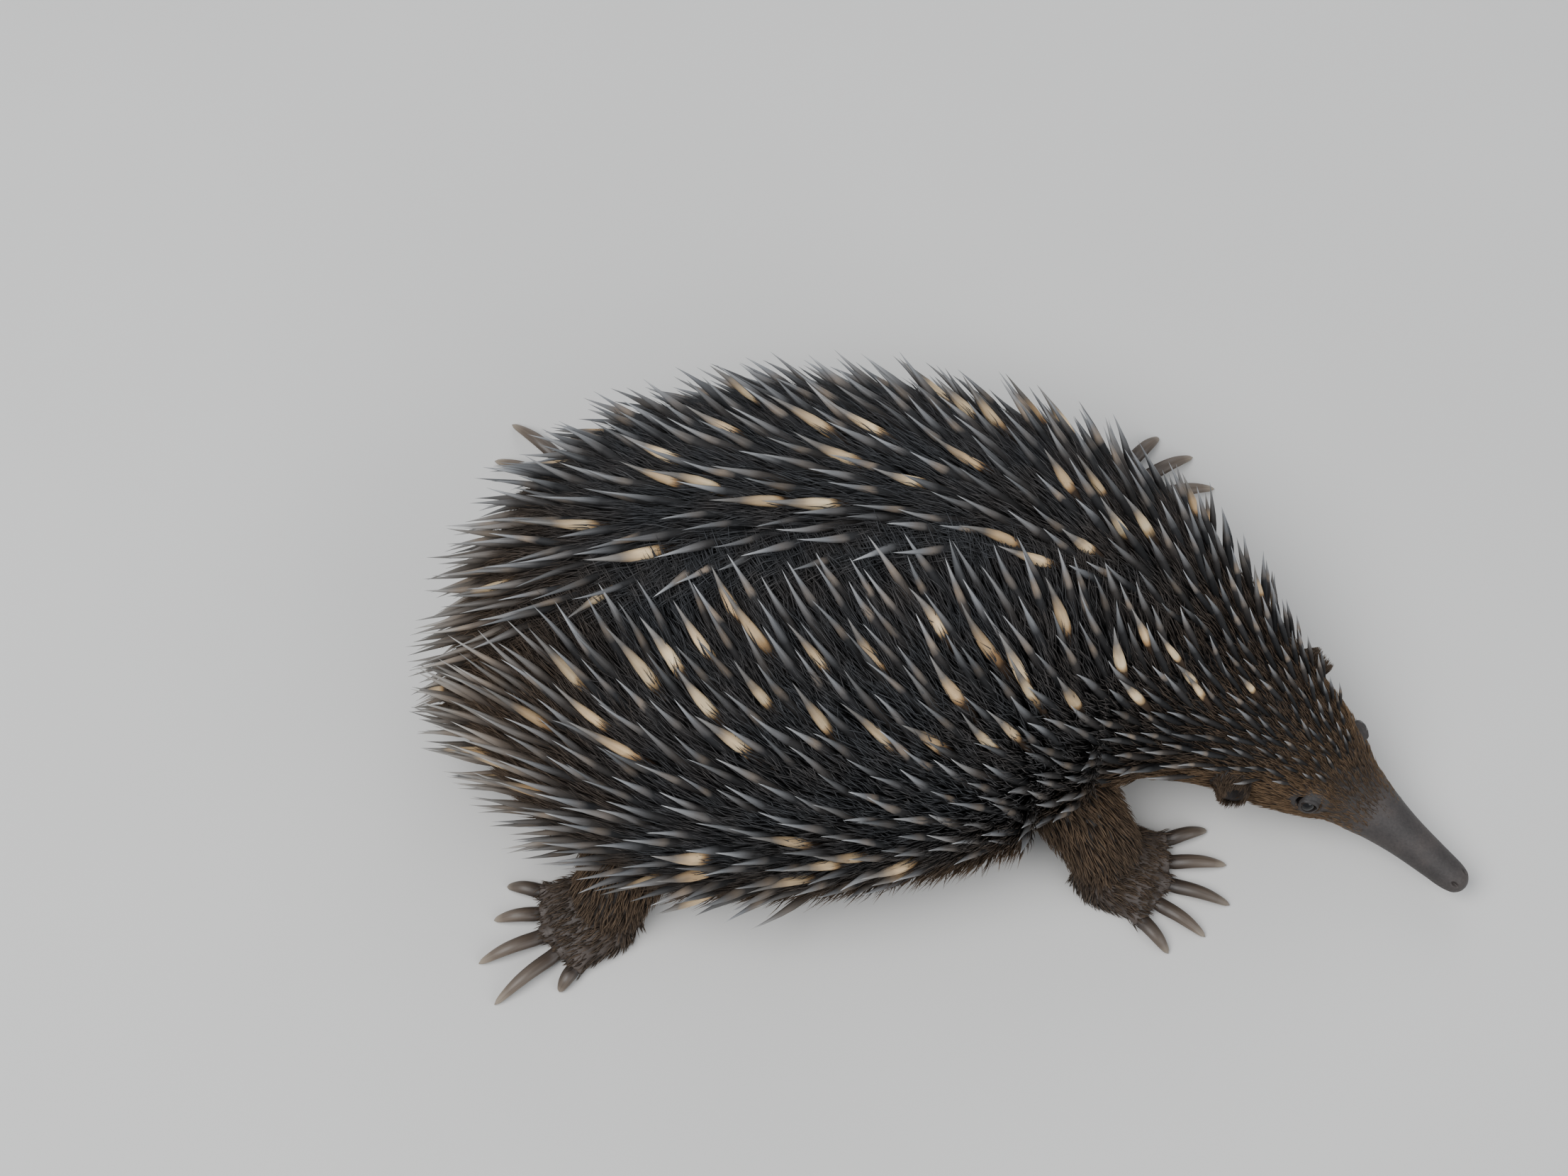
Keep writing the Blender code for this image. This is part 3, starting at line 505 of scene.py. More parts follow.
def swelling(along, angle, station, ahead, at, tall, long, wide):
    """A soft rise on both sides of the head."""
    near = ((along - ALONG[station] - ahead * MM) / (long * MM)) ** 2
    off = np.abs(np.abs(np.angle(np.exp(1j * angle))) - math.radians(at)) / math.radians(wide)
    return tall * MM * np.exp(-near - off**2)


def relief(along, angle):
    """How far the skin of the head stands out of or into its smooth form."""
    return sum(swelling(along, angle, *form) for form in RELIEF)


def to_tip(along):
    """From 0 where the beak begins to round off to 1 at its tip."""
    return np.clip((along - END + ROUND_END) / ROUND_END, 0, 1)


def skin_point(along, angle, floor=SKIN_FLOOR):
    """The surface of the skin, inside the solids by the depth of the fur and round at both ends."""
    along, angle = pairs(along, angle)
    middle, _, left, up, sizes = body_frame(along)
    front = to_tip(along)
    back = np.clip(1 - along / ROUND_TAIL, 0, 1)
    ends = np.sqrt(np.maximum(1 - front**2.4, 0)) * np.sqrt(np.maximum(1 - back**2, 0))
    outward = relief(along, angle) - read_fur(along)[:, 0] * MM
    sizes = np.maximum(sizes + outward[:, None], LEAST_SKIN) * ends[:, None]
    middle = middle - up * (MOUTH_BELOW * (1 - ends) * (front > 0))[:, None]
    return section(middle, left, up, sizes, angle, floor)


def frames(point, along, angle):
    """Places on a surface with their outward, backward and turning directions."""
    along, angle = pairs(along, angle)
    behind = point(np.maximum(along - 1 * MM, 0.0), angle, floor=-1.0)
    ahead = point(np.minimum(along + 1 * MM, END), angle, floor=-1.0)
    before, after = point(along, angle - 0.02, floor=-1.0), point(along, angle + 0.02, floor=-1.0)
    around = unit(after - before)
    normal = unit(np.cross(around, unit(behind - ahead)))
    return point(along, angle), normal, np.cross(normal, around), around


def frame_at(point, along, degrees):
    """One place on a surface, its angle in degrees, with its outward, backward and turning directions."""
    return [part[0] for part in frames(point, along, math.radians(degrees))]


TABLE_ALONG = np.linspace(0.0, END, 900)
TABLE_LINES = [body_point(TABLE_ALONG, a) for a in (-0.9, 0.0, 0.9)]
TABLE_RUN = running(np.mean([norm(np.diff(line, axis=0)) for line in TABLE_LINES], axis=0))


def body_chart(along, angle):
    """Where a place of the body lies on the unwrapped skin."""
    angle = np.angle(np.exp(1j * angle))
    across = np.interp(along, TABLE_ALONG, TABLE_RUN) / TABLE_RUN[-1]
    return np.stack([0.02 + 0.70 * across, 0.5 + 0.48 * angle / math.pi], -1)


def linked(name, data):
    """A new object in the scene."""
    made = bpy.data.objects.new(name, data)
    bpy.context.scene.collection.objects.link(made)
    return made


def mesh_object(name, vertices, faces):
    mesh = bpy.data.meshes.new(name)
    mesh.from_pydata([tuple(v) for v in vertices], [], [tuple(int(i) for i in f) for f in faces])
    mesh.update()
    return linked(name, mesh)


def dress(made, look, marks, grain):
    """Gives a mesh its look, smooth shading, and the marks and grain that the look reads."""
    mesh = made.data
    mesh.polygons.foreach_set("use_smooth", np.ones(len(mesh.polygons), bool))
    for name, kind, field, values in (
        ("mark", "FLOAT_COLOR", "color", marks),
        ("grain", "FLOAT_VECTOR", "vector", grain),
    ):
        attribute = mesh.attributes.new(name, kind, "POINT")
        attribute.data.foreach_set(field, np.ascontiguousarray(values, np.float32).ravel())
    mesh.materials.clear()
    mesh.materials.append(look)


def coordinates(mesh):
    found = np.empty(len(mesh.vertices) * 3)
    mesh.vertices.foreach_get("co", found)
    return found.reshape(-1, 3)


def evaluated(made):
    """Replaces an object's mesh by what its modifiers make of it."""
    graph = bpy.context.evaluated_depsgraph_get()
    mesh = bpy.data.meshes.new_from_object(made.evaluated_get(graph))
    made.modifiers.clear()
    made.data = mesh


def face_outwards(made):
    shape = bmesh.new()
    shape.from_mesh(made.data)
    bmesh.ops.recalc_face_normals(shape, faces=shape.faces)
    shape.to_mesh(made.data)
    shape.free()


def tree_of(made):
    mesh = made.data
    return BVHTree.FromPolygons([v.co for v in mesh.vertices], [p.vertices for p in mesh.polygons])


def inside(tree, points, margin):
    """Which points lie inside a closed surface by more than the margin."""
    found = np.zeros(len(points), bool)
    for i, point in enumerate(points):
        near, normal, _, far = tree.find_nearest(Vector(point))
        found[i] = (Vector(point) - near).dot(normal) < 0 and far > margin
    return found


def tube_rings(middles, widths, heights, around, squash=1.0):
    """Rings along a line of middles, with a half width and height at each, kept above the floor."""
    forward = unit(np.gradient(middles, axis=0))
    left = unit(np.cross([0.0, 0.0, 1.0], forward))
    up = np.cross(forward, left)
    turn = ring_angles(around)
    above = np.where(np.cos(turn) < 0, np.cos(turn) * squash, np.cos(turn))
    across = np.multiply.outer(widths, np.sin(turn))[:, :, None] * left[:, None]
    rings = middles[:, None] + across + np.multiply.outer(heights, above)[:, :, None] * up[:, None]
    rings[:, :, 2] = np.maximum(rings[:, :, 2], TUBE_FLOOR)
    return rings


def ring_faces(rings, around, start=0):
    """The faces of a tube of rings, with flat ends, facing outwards where the rings turn to the left."""
    here = start + np.arange(rings * around).reshape(rings, around)
    onward = np.roll(here, -1, axis=1)
    sides = np.stack([here[:-1], here[1:], onward[1:], onward[:-1]], -1).reshape(-1, 4)
    return [*sides, here[0], here[-1, ::-1]]


def rod_section(sides, offset, side, over, flatness=1.0):
    """The angles of a rod's sides, and the directions to them in every rod."""
    turn = (np.arange(sides) + offset) * math.tau / sides
    flat = flatness * np.cos(turn)
    return turn, np.sin(turn)[None, :, None] * side[:, None] + flat[None, :, None] * over[:, None]


def rod_points(middles, halves, directions, tips):
    """The points of every rod, ring by ring and then the tip."""
    rings = [middle[:, None] + directions * half[:, None, None] for middle, half in zip(middles, halves)]
    return np.concatenate([*rings, tips[:, None]], axis=1)


def rod_marks(draw, turn, reach, radii, long, tone, brown, tan=1.0):
    """The marks of every rod's points and their places in the look's grain."""
    marks = np.ones((len(tone), len(reach) * len(turn) + 1, 4))
    marks[..., 0], marks[..., 1] = tone[:, None], brown[:, None]
    marks[..., 2] = np.append(np.repeat(reach, len(turn)), 1.0)
    marks[..., 3] = np.reshape(tan, (-1, 1))
    grain = np.zeros(marks.shape[:2] + (3,))
    across = np.multiply.outer(radii, np.stack([np.sin(turn), np.cos(turn)], -1))
    grain[:, :-1, :2] = across.reshape(-1, 2)
    grain[..., 2] = marks[..., 2] * long
    return marks, grain + draw.uniform(0, 4, (len(tone), 1, 3))


def rod_faces(rings, sides):
    """The corners of a pointed rod's faces, each face's size, and each corner's share along and around."""
    quad = ((0, 0), (1, 0), (1, 1), (0, 1))
    faces = [[(r + i, k + j) for i, j in quad] for r in range(rings - 1) for k in range(sides)]
    faces += [[(rings - 1, k), (rings, k + 0.5), (rings - 1, k + 1)] for k in range(sides)]
    faces.append([(0, k) for k in range(sides)])
    shares = np.array([corner for face in faces for corner in face], float)
    ring, around = shares.T
    corners = np.where(ring == rings, rings * sides, ring * sides + around % sides).astype(int)
    return corners, np.array([len(face) for face in faces]), shares / (rings, sides)


def rods(name, look, sides, part, whole):
    """One mesh of a part of many pointed rods, from their points, charts, marks and grain."""
    shapes, places, marks, grain = (kind[part] for kind in whole)
    count, size = shapes.shape[:2]
    corners, sizes, shares = rod_faces(size // sides, sides)
    loops = (corners[None] + size * np.arange(count)[:, None]).ravel()
    totals = np.tile(sizes, count)
    mesh = bpy.data.meshes.new(name)
    mesh.vertices.add(count * size)
    mesh.vertices.foreach_set("co", shapes.astype(np.float32).ravel())
    mesh.loops.add(len(loops))
    mesh.loops.foreach_set("vertex_index", loops.astype(np.int32))
    mesh.polygons.add(len(totals))
    mesh.polygons.foreach_set("loop_start", running(totals)[:-1].astype(np.int32))
    mesh.update(calc_edges=True)
    chart = mesh.uv_layers.new(name="OFBake")
    flat = places[:, None] + PATCH * (shares[None] - 0.5)
    chart.data.foreach_set("uv", flat.astype(np.float32).ravel())
    made = linked(name, mesh)
    dress(made, look, marks, grain)
    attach(made, "root")


def node(tree, kind, values=(), **settings):
    """A new node with its settings, and with numbers or links at its inputs."""
    made = tree.nodes.new(kind)
    for name, value in settings.items():
        setattr(made, name, value)
    for name, value in dict(values).items():
        socket = made.inputs[name]
        if isinstance(value, bpy.types.NodeSocket):
            tree.links.new(value, socket)
        else:
            socket.default_value = value
    return made


def mix(tree, factor, a, b, blend="MIX"):
    values = {0: factor, 6: a, 7: b}
    return node(tree, "ShaderNodeMix", values, data_type="RGBA", blend_type=blend).outputs[2]


def ramp(tree, value, *stops):
    made = node(tree, "ShaderNodeValToRGB", {"Fac": value})
    band = made.color_ramp
    while len(band.elements) < len(stops):
        band.elements.new(0.5)
    for element, (place, shade) in zip(band.elements, stops):
        element.position = place
        element.color = (*shade, 1.0)
    return made.outputs["Color"]


def maths(tree, operation, a, b, clamp=False):
    return node(tree, "ShaderNodeMath", {0: a, 1: b}, operation=operation, use_clamp=clamp).outputs[0]


def add(tree, a, b):
    return maths(tree, "ADD", a, b)


def times(tree, a, b):
    return maths(tree, "MULTIPLY", a, b)


def between(tree, value, low, high, to_low, to_high):
    values = {"Value": value, "From Min": low, "From Max": high, "To Min": to_low, "To Max": to_high}
    return node(tree, "ShaderNodeMapRange", values).outputs[0]


def noise(tree, vector, scale, detail=3.0):
    values = {"Vector": vector, "Scale": scale, "Detail": detail, "Roughness": 0.55}
    return node(tree, "ShaderNodeTexNoise", values).outputs["Fac"]


def streaks(tree, vector, scale, detail):
    """Noise with a scale of its own along each axis."""
    stretched = node(tree, "ShaderNodeMapping", {"Vector": vector, "Scale": scale}).outputs[0]
    return noise(tree, stretched, 1.0, detail)


def cells(tree, vector, scale, feature):
    values = {"Vector": vector, "Scale": scale}
    return node(tree, "ShaderNodeTexVoronoi", values, feature=feature).outputs["Distance"]


def object_place(tree):
    return node(tree, "ShaderNodeTexCoord").outputs["Object"]


def marks_of(tree):
    """The four parts of the marks, and the grain."""
    mark = node(tree, "ShaderNodeAttribute", attribute_name="mark")
    parts = node(tree, "ShaderNodeSeparateColor", {"Color": mark.outputs["Color"]})
    grain = node(tree, "ShaderNodeAttribute", attribute_name="grain")
    return *parts.outputs, mark.outputs["Alpha"], grain.outputs["Vector"]


def new_look(name):
    look = bpy.data.materials.new(name)
    look.use_nodes = True
    return look, look.node_tree, look.node_tree.nodes["Principled BSDF"]


def paint(tree, shader, base, shade):
    """The base colour, made darker or lighter by a shade."""
    grey = node(tree, "ShaderNodeCombineColor", {"Red": shade, "Green": shade, "Blue": shade}).outputs[0]
    tree.links.new(mix(tree, 1.0, base, grey, "MULTIPLY"), shader.inputs["Base Color"])


def surface(tree, shader, roughness, height, strength, depth):
    """The roughness and the bump."""
    tree.links.new(roughness, shader.inputs["Roughness"])
    values = {"Height": height, "Strength": strength, "Distance": depth}
    tree.links.new(node(tree, "ShaderNodeBump", values).outputs[0], shader.inputs["Normal"])


def spine_look(name, grey, brownish):
    look, tree, shader = new_look(name)
    tone, brown, along, tan, grain = marks_of(tree)
    streak = streaks(tree, grain, (900.0, 900.0, 45.0), 4.0)
    blotch = streaks(tree, grain, (160.0, 160.0, 70.0), 2.0)
    moved = add(tree, along, between(tree, blotch, 0.3, 0.7, -0.045, 0.045))
    base = mix(tree, brown, ramp(tree, moved, *grey), ramp(tree, moved, *brownish))
    band = ramp(tree, moved, (0.54, (0, 0, 0)), (0.64, (1, 1, 1)), (0.78, (0, 0, 0)))
    base = mix(tree, times(tree, band, tan), base, (*TAN_BAND, 1.0))
    shade = between(tree, tone, 0.0, 1.0, 0.45, 1.40)
    paint(tree, shader, base, times(tree, shade, between(tree, streak, 0.25, 0.75, 0.80, 1.18)))
    dull = between(tree, along, 0.45, 0.75, 0.34, 0.0)
    roughness = add(tree, between(tree, streak, 0.2, 0.8, 0.32, 0.50), dull)
    surface(tree, shader, roughness, streak, 0.35, 0.12 * MM)
    shader.inputs["Specular IOR Level"].default_value = 0.30
    return look


def fur_look():
    look, tree, shader = new_look("fur")
    tone, brown, along, _, grain = marks_of(tree)
    patchy = noise(tree, object_place(tree), 42.0)
    strand = streaks(tree, grain, (2600.0, 2600.0, 60.0), 3.0)
    mixed = maths(tree, "ADD", brown, between(tree, patchy, 0.3, 0.7, -0.10, 0.10), clamp=True)
    low, high = (
        ramp(tree, mixed, *zip((0.0, 0.4, 1.0), shades))
        for shades in (
            ((0.0235, 0.0242, 0.0260), (0.031, 0.024, 0.019), (0.062, 0.038, 0.022)),
            ((0.0510, 0.0528, 0.0565), (0.082, 0.061, 0.046), (0.195, 0.125, 0.070)),
        )
    )
    base = mix(tree, between(tree, along, 0.25, 1.0, 0.0, 1.0), low, high)
    shade = between(tree, tone, 0.0, 1.0, 0.55, 1.35)
    paint(tree, shader, base, times(tree, shade, between(tree, strand, 0.25, 0.75, 0.7, 1.3)))
    surface(tree, shader, between(tree, strand, 0.2, 0.8, 0.62, 0.82), strand, 0.5, 0.10 * MM)
    shader.inputs["Specular IOR Level"].default_value = 0.18
    return look


def skin_look():
    look, tree, shader = new_look("skin")
    beak, brown, foot, _, _ = marks_of(tree)
    place = object_place(tree)
    cloudy, fine = noise(tree, place, 60.0, 4.0), noise(tree, place, 900.0, 4.0)
    pores = cells(tree, place, 1150.0, "F1")
    pads = cells(tree, place, 620.0, "DISTANCE_TO_EDGE")
    across = streaks(tree, place, (520.0, 420.0, 150.0), 5.0)
    under_fur = ramp(tree, brown, (0.0, (0.010, 0.009, 0.009)), (1.0, (0.045, 0.030, 0.020)))
    beak_skin = ramp(
        tree, cloudy, (0.25, (0.020, 0.017, 0.016)), (0.5, (0.036, 0.030, 0.028)),
        (0.8, (0.062, 0.049, 0.043)),
    )
    foot_skin = ramp(tree, cloudy, (0.25, (0.030, 0.023, 0.019)), (0.75, (0.085, 0.064, 0.052)))
    base = mix(tree, foot, mix(tree, beak, under_fur, beak_skin), foot_skin)
    paint(tree, shader, base, between(tree, fine, 0.3, 0.7, 0.78, 1.22))
    wrinkles = add(tree, times(tree, across, 0.7), times(tree, pores, 0.35))
    rough = add(tree, times(tree, foot, maths(tree, "MINIMUM", pads, 0.25)), wrinkles)
    surface(tree, shader, between(tree, cloudy, 0.2, 0.8, 0.48, 0.68), rough, 0.7, 0.28 * MM)
    return look


def claw_look():
    look, tree, shader = new_look("claw horn")
    tone, _, along, _, grain = marks_of(tree)
    lines = streaks(tree, grain, (1500.0, 1500.0, 60.0), 4.0)
    growth = streaks(tree, grain, (30.0, 30.0, 700.0), 2.0)
    base = ramp(
        tree, along, (0.0, (0.030, 0.021, 0.016)), (0.25, (0.060, 0.044, 0.033)),
        (0.75, (0.115, 0.088, 0.066)), (1.0, (0.260, 0.215, 0.165)),
    )
    shade = between(tree, tone, 0.0, 1.0, 0.8, 1.15)
    paint(tree, shader, base, times(tree, shade, between(tree, lines, 0.25, 0.75, 0.72, 1.28)))
    grooves = add(tree, lines, times(tree, growth, 0.4))
    surface(tree, shader, between(tree, lines, 0.2, 0.8, 0.34, 0.55), grooves, 0.5, 0.15 * MM)
    return look


def eye_look():
    look, tree, shader = new_look("eye")
    _, _, out, _, grain = marks_of(tree)
    rays = streaks(tree, grain, (900.0, 900.0, 200.0), 4.0)
    base = ramp(
        tree, out, (0.0, (0.0015, 0.0013, 0.0012)), (0.17, (0.002, 0.0015, 0.0013)),
        (0.20, (0.014, 0.007, 0.004)), (0.30, (0.009, 0.005, 0.003)),
        (0.38, (0.003, 0.0025, 0.0025)), (1.0, (0.006, 0.005, 0.004)),
    )
    paint(tree, shader, base, between(tree, rays, 0.3, 0.7, 0.6, 1.5))
    shader.inputs["Roughness"].default_value = 0.06
    shader.inputs["Specular IOR Level"].default_value = 0.30
    shader.inputs["Coat Weight"].default_value = 0.15
    shader.inputs["Coat Roughness"].default_value = 0.03
    return look


def nearby(along, degrees, x, y):
    """The places of the skin that lie x backwards and y round from a place, measured flat at that place."""
    centre, _, backward, around = frame_at(skin_point, along, degrees)
    radius = norm(centre - body_frame(np.array([along]))[0][0])
    along, angle = along - x, math.radians(degrees) + y / radius
    h, k = 0.2 * MM, 0.01
    for _ in range(6):
        p = skin_point(along, angle, -1.0)
        ahead = (skin_point(along + h, angle, -1.0) - p) / h
        turned = (skin_point(along, angle + k, -1.0) - p) / k
        ex, ey = (p - centre) @ backward - x, (p - centre) @ around - y
        a, b, c, d = ahead @ backward, turned @ backward, ahead @ around, turned @ around
        det = a * d - b * c
        along, angle = along - (d * ex - b * ey) / det, angle - (a * ey - c * ex) / det
    return along, angle


def patch_rings(along, degrees, rows, count, shape):
    """The rings of a form on the skin: each row has its radii backwards and round, and its height."""
    rings = []
    for row in rows:
        x, y, height = shape(row, ring_angles(count))
        place, normal, _, _ = frames(skin_point, *nearby(along, degrees, x, y))
        rings.append(place + normal * height[:, None])
    return np.array(rings)


def eyeball(sign):
    """The middle of an eyeball, with the outward, backward and turning directions there."""
    place, normal, backward, around = frame_at(body_point, ALONG["brow"], sign * EYE_ANGLE)
    return place - normal * EYE_SUNK, normal, backward, around


def eye_shape(sign):
    centre, normal, _, _ = frame_at(skin_point, ALONG["brow"], sign * EYE_ANGLE)
    sunk = (centre - eyeball(sign)[0]) @ normal

    def shape(row, turn):
        back, round_, height, follow, thick = row
        # The upper lid is on the side of the top of the head.
        upper = np.clip(-sign * np.sin(turn), 0, 1)
        corner = 1 + 0.10 * np.cos(2 * turn) * (follow > 0.5)
        x = back * MM * np.cos(turn) * corner
        y = round_ * MM * np.sin(turn)
        cover = EYE_RADIUS + (thick + 0.22 * upper * (thick > 0.3)) * MM
        ball = np.sqrt(np.maximum(cover**2 - x**2 - y**2, 0)) - sunk
        return x, y, follow * ball + (1 - follow) * height * MM

    return shape


def ear_shape(row, turn):
    back, round_, height = row
    # The back edge of the ear stands highest, and the whole cup leans forwards.
    tall = height * (1 + 0.13 * np.cos(turn) * (height > 0))
    lean = -math.tan(math.radians(EAR_TURN)) * np.maximum(tall, 0)
    ripple = 1 + 0.035 * np.sin(3 * turn + 0.6)
    x = (back * ripple * np.cos(turn) + lean) * MM
    return x, round_ * ripple * np.sin(turn) * MM, tall * MM


def nostril_shape(row, turn):
    back, round_, height = row
    return back * MM * np.cos(turn), round_ * MM * np.sin(turn), np.full(len(turn), height * MM)


def set_patch(shape, normal, rings):
    """Takes the faces under a patch's first ring out of the skin and joins the patch to the hole's rim."""
    outer = [Vector(p) for p in rings[0]]
    middle = Vector(rings[0].mean(0))
    x_axis = (outer[0] - middle).normalized()
    y_axis = Vector(normal).cross(x_axis)
    flat = [((p - middle).dot(x_axis), (p - middle).dot(y_axis)) for p in outer]
    angles = np.array([math.atan2(y, x) for x, y in flat])
    order = np.argsort(angles)
    radii = np.array([math.hypot(x, y) for x, y in flat])[order]
    angles = angles[order]
    largest = radii.max()

    def covered(vertex):
        off = vertex.co - middle
        if off.length > largest * HOLE_SEARCH:
            return False
        x, y = off.dot(x_axis), off.dot(y_axis)
        reach = np.interp(math.atan2(y, x), angles, radii, period=math.tau)
        return math.hypot(x, y) < reach * HOLE

    near = [v for v in shape.verts if covered(v)]
    bmesh.ops.delete(shape, geom=list({f for v in near for f in v.link_faces}), context="FACES_ONLY")
    bmesh.ops.delete(shape, geom=[e for e in shape.edges if not e.link_faces], context="EDGES")
    bmesh.ops.delete(shape, geom=[v for v in shape.verts if not v.link_edges], context="VERTS")
    rim = [e for e in shape.edges if e.is_boundary]
    made = [[shape.verts.new(p) for p in ring] for ring in rings]
    following = [(k, (k + 1) % len(outer)) for k in range(len(outer))]
    for inner, outside in zip(made[1:], made):
        for k, n in following:
            shape.faces.new((outside[k], outside[n], inner[n], inner[k]))
    bottom = shape.verts.new(rings[-1].mean(0) - normal * 0.4 * MM)
    for k, n in following:
        shape.faces.new((made[-1][k], made[-1][n], bottom))
    ring_edges = [shape.edges.get((made[0][k], made[0][n])) for k, n in following]
    bmesh.ops.bridge_loops(shape, edges=rim + ring_edges)


def ring_stops():
    """Where the skin's rings lie along the body."""
    along = np.linspace(0.0, END, FINE_STEPS)
    count = running(np.diff(along) / (read_rings(along[1:])[:, 0] * MM))
    stops = np.interp(np.linspace(0, count[-1], int(count[-1])), count, along)
    stops[0], stops[-1] = FIRST_RING, END - LAST_RING
    return stops


def mouth_turns(stops):
    """The angles of every ring's points, moved on the beak so that a line of them follows the mouth."""
    even = ring_angles(AROUND)
    line = even[MOUTH_LINE]
    _, _, _, _, sizes = body_frame(stops)
    front = to_tip(stops)
    wanted = np.arccos(-MOUTH_BELOW / np.maximum(sizes[:, 2], LEAST_JAW)) * (1 - front) + line * front
    blend = change(stops, ALONG["beak root"], ALONG["beak"])
    half = np.minimum(even, math.tau - even)
    hat = np.where(half < line, half / line, (math.pi - half) / (math.pi - line)) ** 2
    shift = (wanted - line)[:, None] * blend[:, None] * hat[None]
    return even[None] + shift * np.where(even < math.pi, 1, -1)[None]


def trunk_skin():
    """The skin of the body and head, with lids, ears, nostrils and mouth."""
    stops = ring_stops()
    alongs = np.repeat(stops, AROUND)
    points, normal, _, _ = frames(skin_point, alongs, mouth_turns(stops).ravel())
    middle, _, _, up, _ = body_frame(alongs)
    low = dot(points - middle, up)[:, 0] + MOUTH_BELOW
    start = np.clip((alongs - END + MOUTH_LENGTH) / MOUTH_FADE, 0, 1)
    lips = LIP_HEIGHT * np.exp(-(((np.abs(low) - LIP_AWAY) / LIP_WIDTH) ** 2))
    slit = MOUTH_DEPTH * np.exp(-((low / MOUTH_WIDTH) ** 2)) - lips
    made = mesh_object("skin", points - normal * (slit * start)[:, None], ring_faces(len(stops), AROUND))
    shape = bmesh.new()
    shape.from_mesh(made.data)
    bmesh.ops.recalc_face_normals(shape, faces=shape.faces)
    for sign in SIDES.values():
        for along, degrees, rows, count, form in (
            (ALONG["brow"], sign * EYE_ANGLE, EYE_ROWS, EYE_POINTS, eye_shape(sign)),
            (EAR_ALONG, sign * EAR_ANGLE, EAR_ROWS, EAR_POINTS, ear_shape),
            (END - NOSTRIL_BEHIND_TIP, sign * NOSTRIL_ANGLE, NOSTRIL_ROWS, NOSTRIL_POINTS, nostril_shape),
        ):
            _, outward, _, _ = frame_at(skin_point, along, degrees)
            set_patch(shape, outward, patch_rings(along, degrees, rows, count, form))
    bmesh.ops.recalc_face_normals(shape, faces=shape.faces)
    shape.to_mesh(made.data)
    shape.free()
    return made


def leg_path(kind, side):
    path = np.array(LEGS[kind][0])
    path[:, 1] = path[:, 1] * SIDES[side] + np.interp(path[-1, 0], SIZES[:, 0], SIZES[:, 1])
    return path


def palm_middles(kind, side):
    """The middles of a palm's stations, and the way the foot points."""
    headings, (behind, before), _ = FEET[kind]
    heading = math.radians(headings[side])
    forward = np.array([math.cos(heading), math.sin(heading), 0.0])
    ankle = leg_path(kind, side)[-1]
    ankle[2] = PALM_MIDDLE
    return np.array([ankle + forward * (behind + share * (before - behind)) for share, *_ in PALM]), forward


def toe_lines(kind, side):
    """Each toe's start, end and direction."""
    middles, forward = palm_middles(kind, side)
    left = np.array([-forward[1], forward[0], 0.0])
    for number in range(-2, 3):
        across = number * SIDES[side]
        fan = math.radians(across * TOE_FAN)
        ahead = math.cos(fan) * forward + math.sin(fan) * left
        start = middles[-1] - forward * (TOE_BACK + OUTER_TOE_BACK * abs(number)) + left * across * TOE_STEP
        start[2] = TOE_MIDDLE
        yield start, start + ahead * TOE_LENGTH, ahead


def limb(kind, side):
    """A leg with its foot and toes in one skin."""
    vertices, faces = [], []

    def take(rings):
        start = sum(len(v) for v in vertices)
        vertices.append(rings.reshape(-1, 3))
        faces.extend(ring_faces(len(rings), rings.shape[1], start))

    path, radii = leg_path(kind, side), np.array(LEGS[kind][1])
    knots, stops = np.linspace(0, 1, len(path)), np.linspace(0, 1, LEG_RINGS)
    radii = smooth_curve(knots, radii[:, None])(stops)[:, 0] - LEG_FUR
    take(tube_rings(smooth_curve(knots, path)(stops), radii, radii, LEG_AROUND))
    middles, _ = palm_middles(kind, side)
    palm, fine = np.array(PALM), np.linspace(0, 1, PALM_RINGS)
    widths, heights = (smooth_curve(palm[:, 0], palm[:, 1:])(fine) - PALM_FUR).T
    line = middles[0] + np.outer(fine, middles[-1] - middles[0])
    take(tube_rings(line, widths, heights, LEG_AROUND))
    wave = np.sin(np.linspace(0, math.tau, TOE_RINGS))
    knuckle = 1 + 0.07 * wave - 0.10 * np.linspace(0, 1, TOE_RINGS)
    for start, end, ahead in toe_lines(kind, side):
        line = np.linspace(start, end - ahead * 0.6 * MM, TOE_RINGS)
        take(tube_rings(line, TOE_RADIUS * knuckle, TOE_RADIUS * 0.95 * knuckle, TOE_AROUND))
    made = mesh_object("limb", np.vstack(vertices), faces)
    face_outwards(made)
    remesh = made.modifiers.new("Remesh", "REMESH")
    remesh.mode, remesh.voxel_size = "VOXEL", LIMB_VOXEL
    smooth = made.modifiers.new("Smooth", "SMOOTH")
    smooth.factor, smooth.iterations = 0.5, 3
    evaluated(made)
    points = coordinates(made.data)
    points[:, 2] = np.maximum(points[:, 2], LIMB_FLOOR)
    made.data.vertices.foreach_set("co", points.ravel())
    return made


def by_limbs(points, height):
    """Which points are low and far out enough to be near a limb."""
    return (points[:, 2] < height) & (np.abs(points[:, 1]) > LIMBS_OUT) & (points[:, 0] < LIMBS_BEHIND)


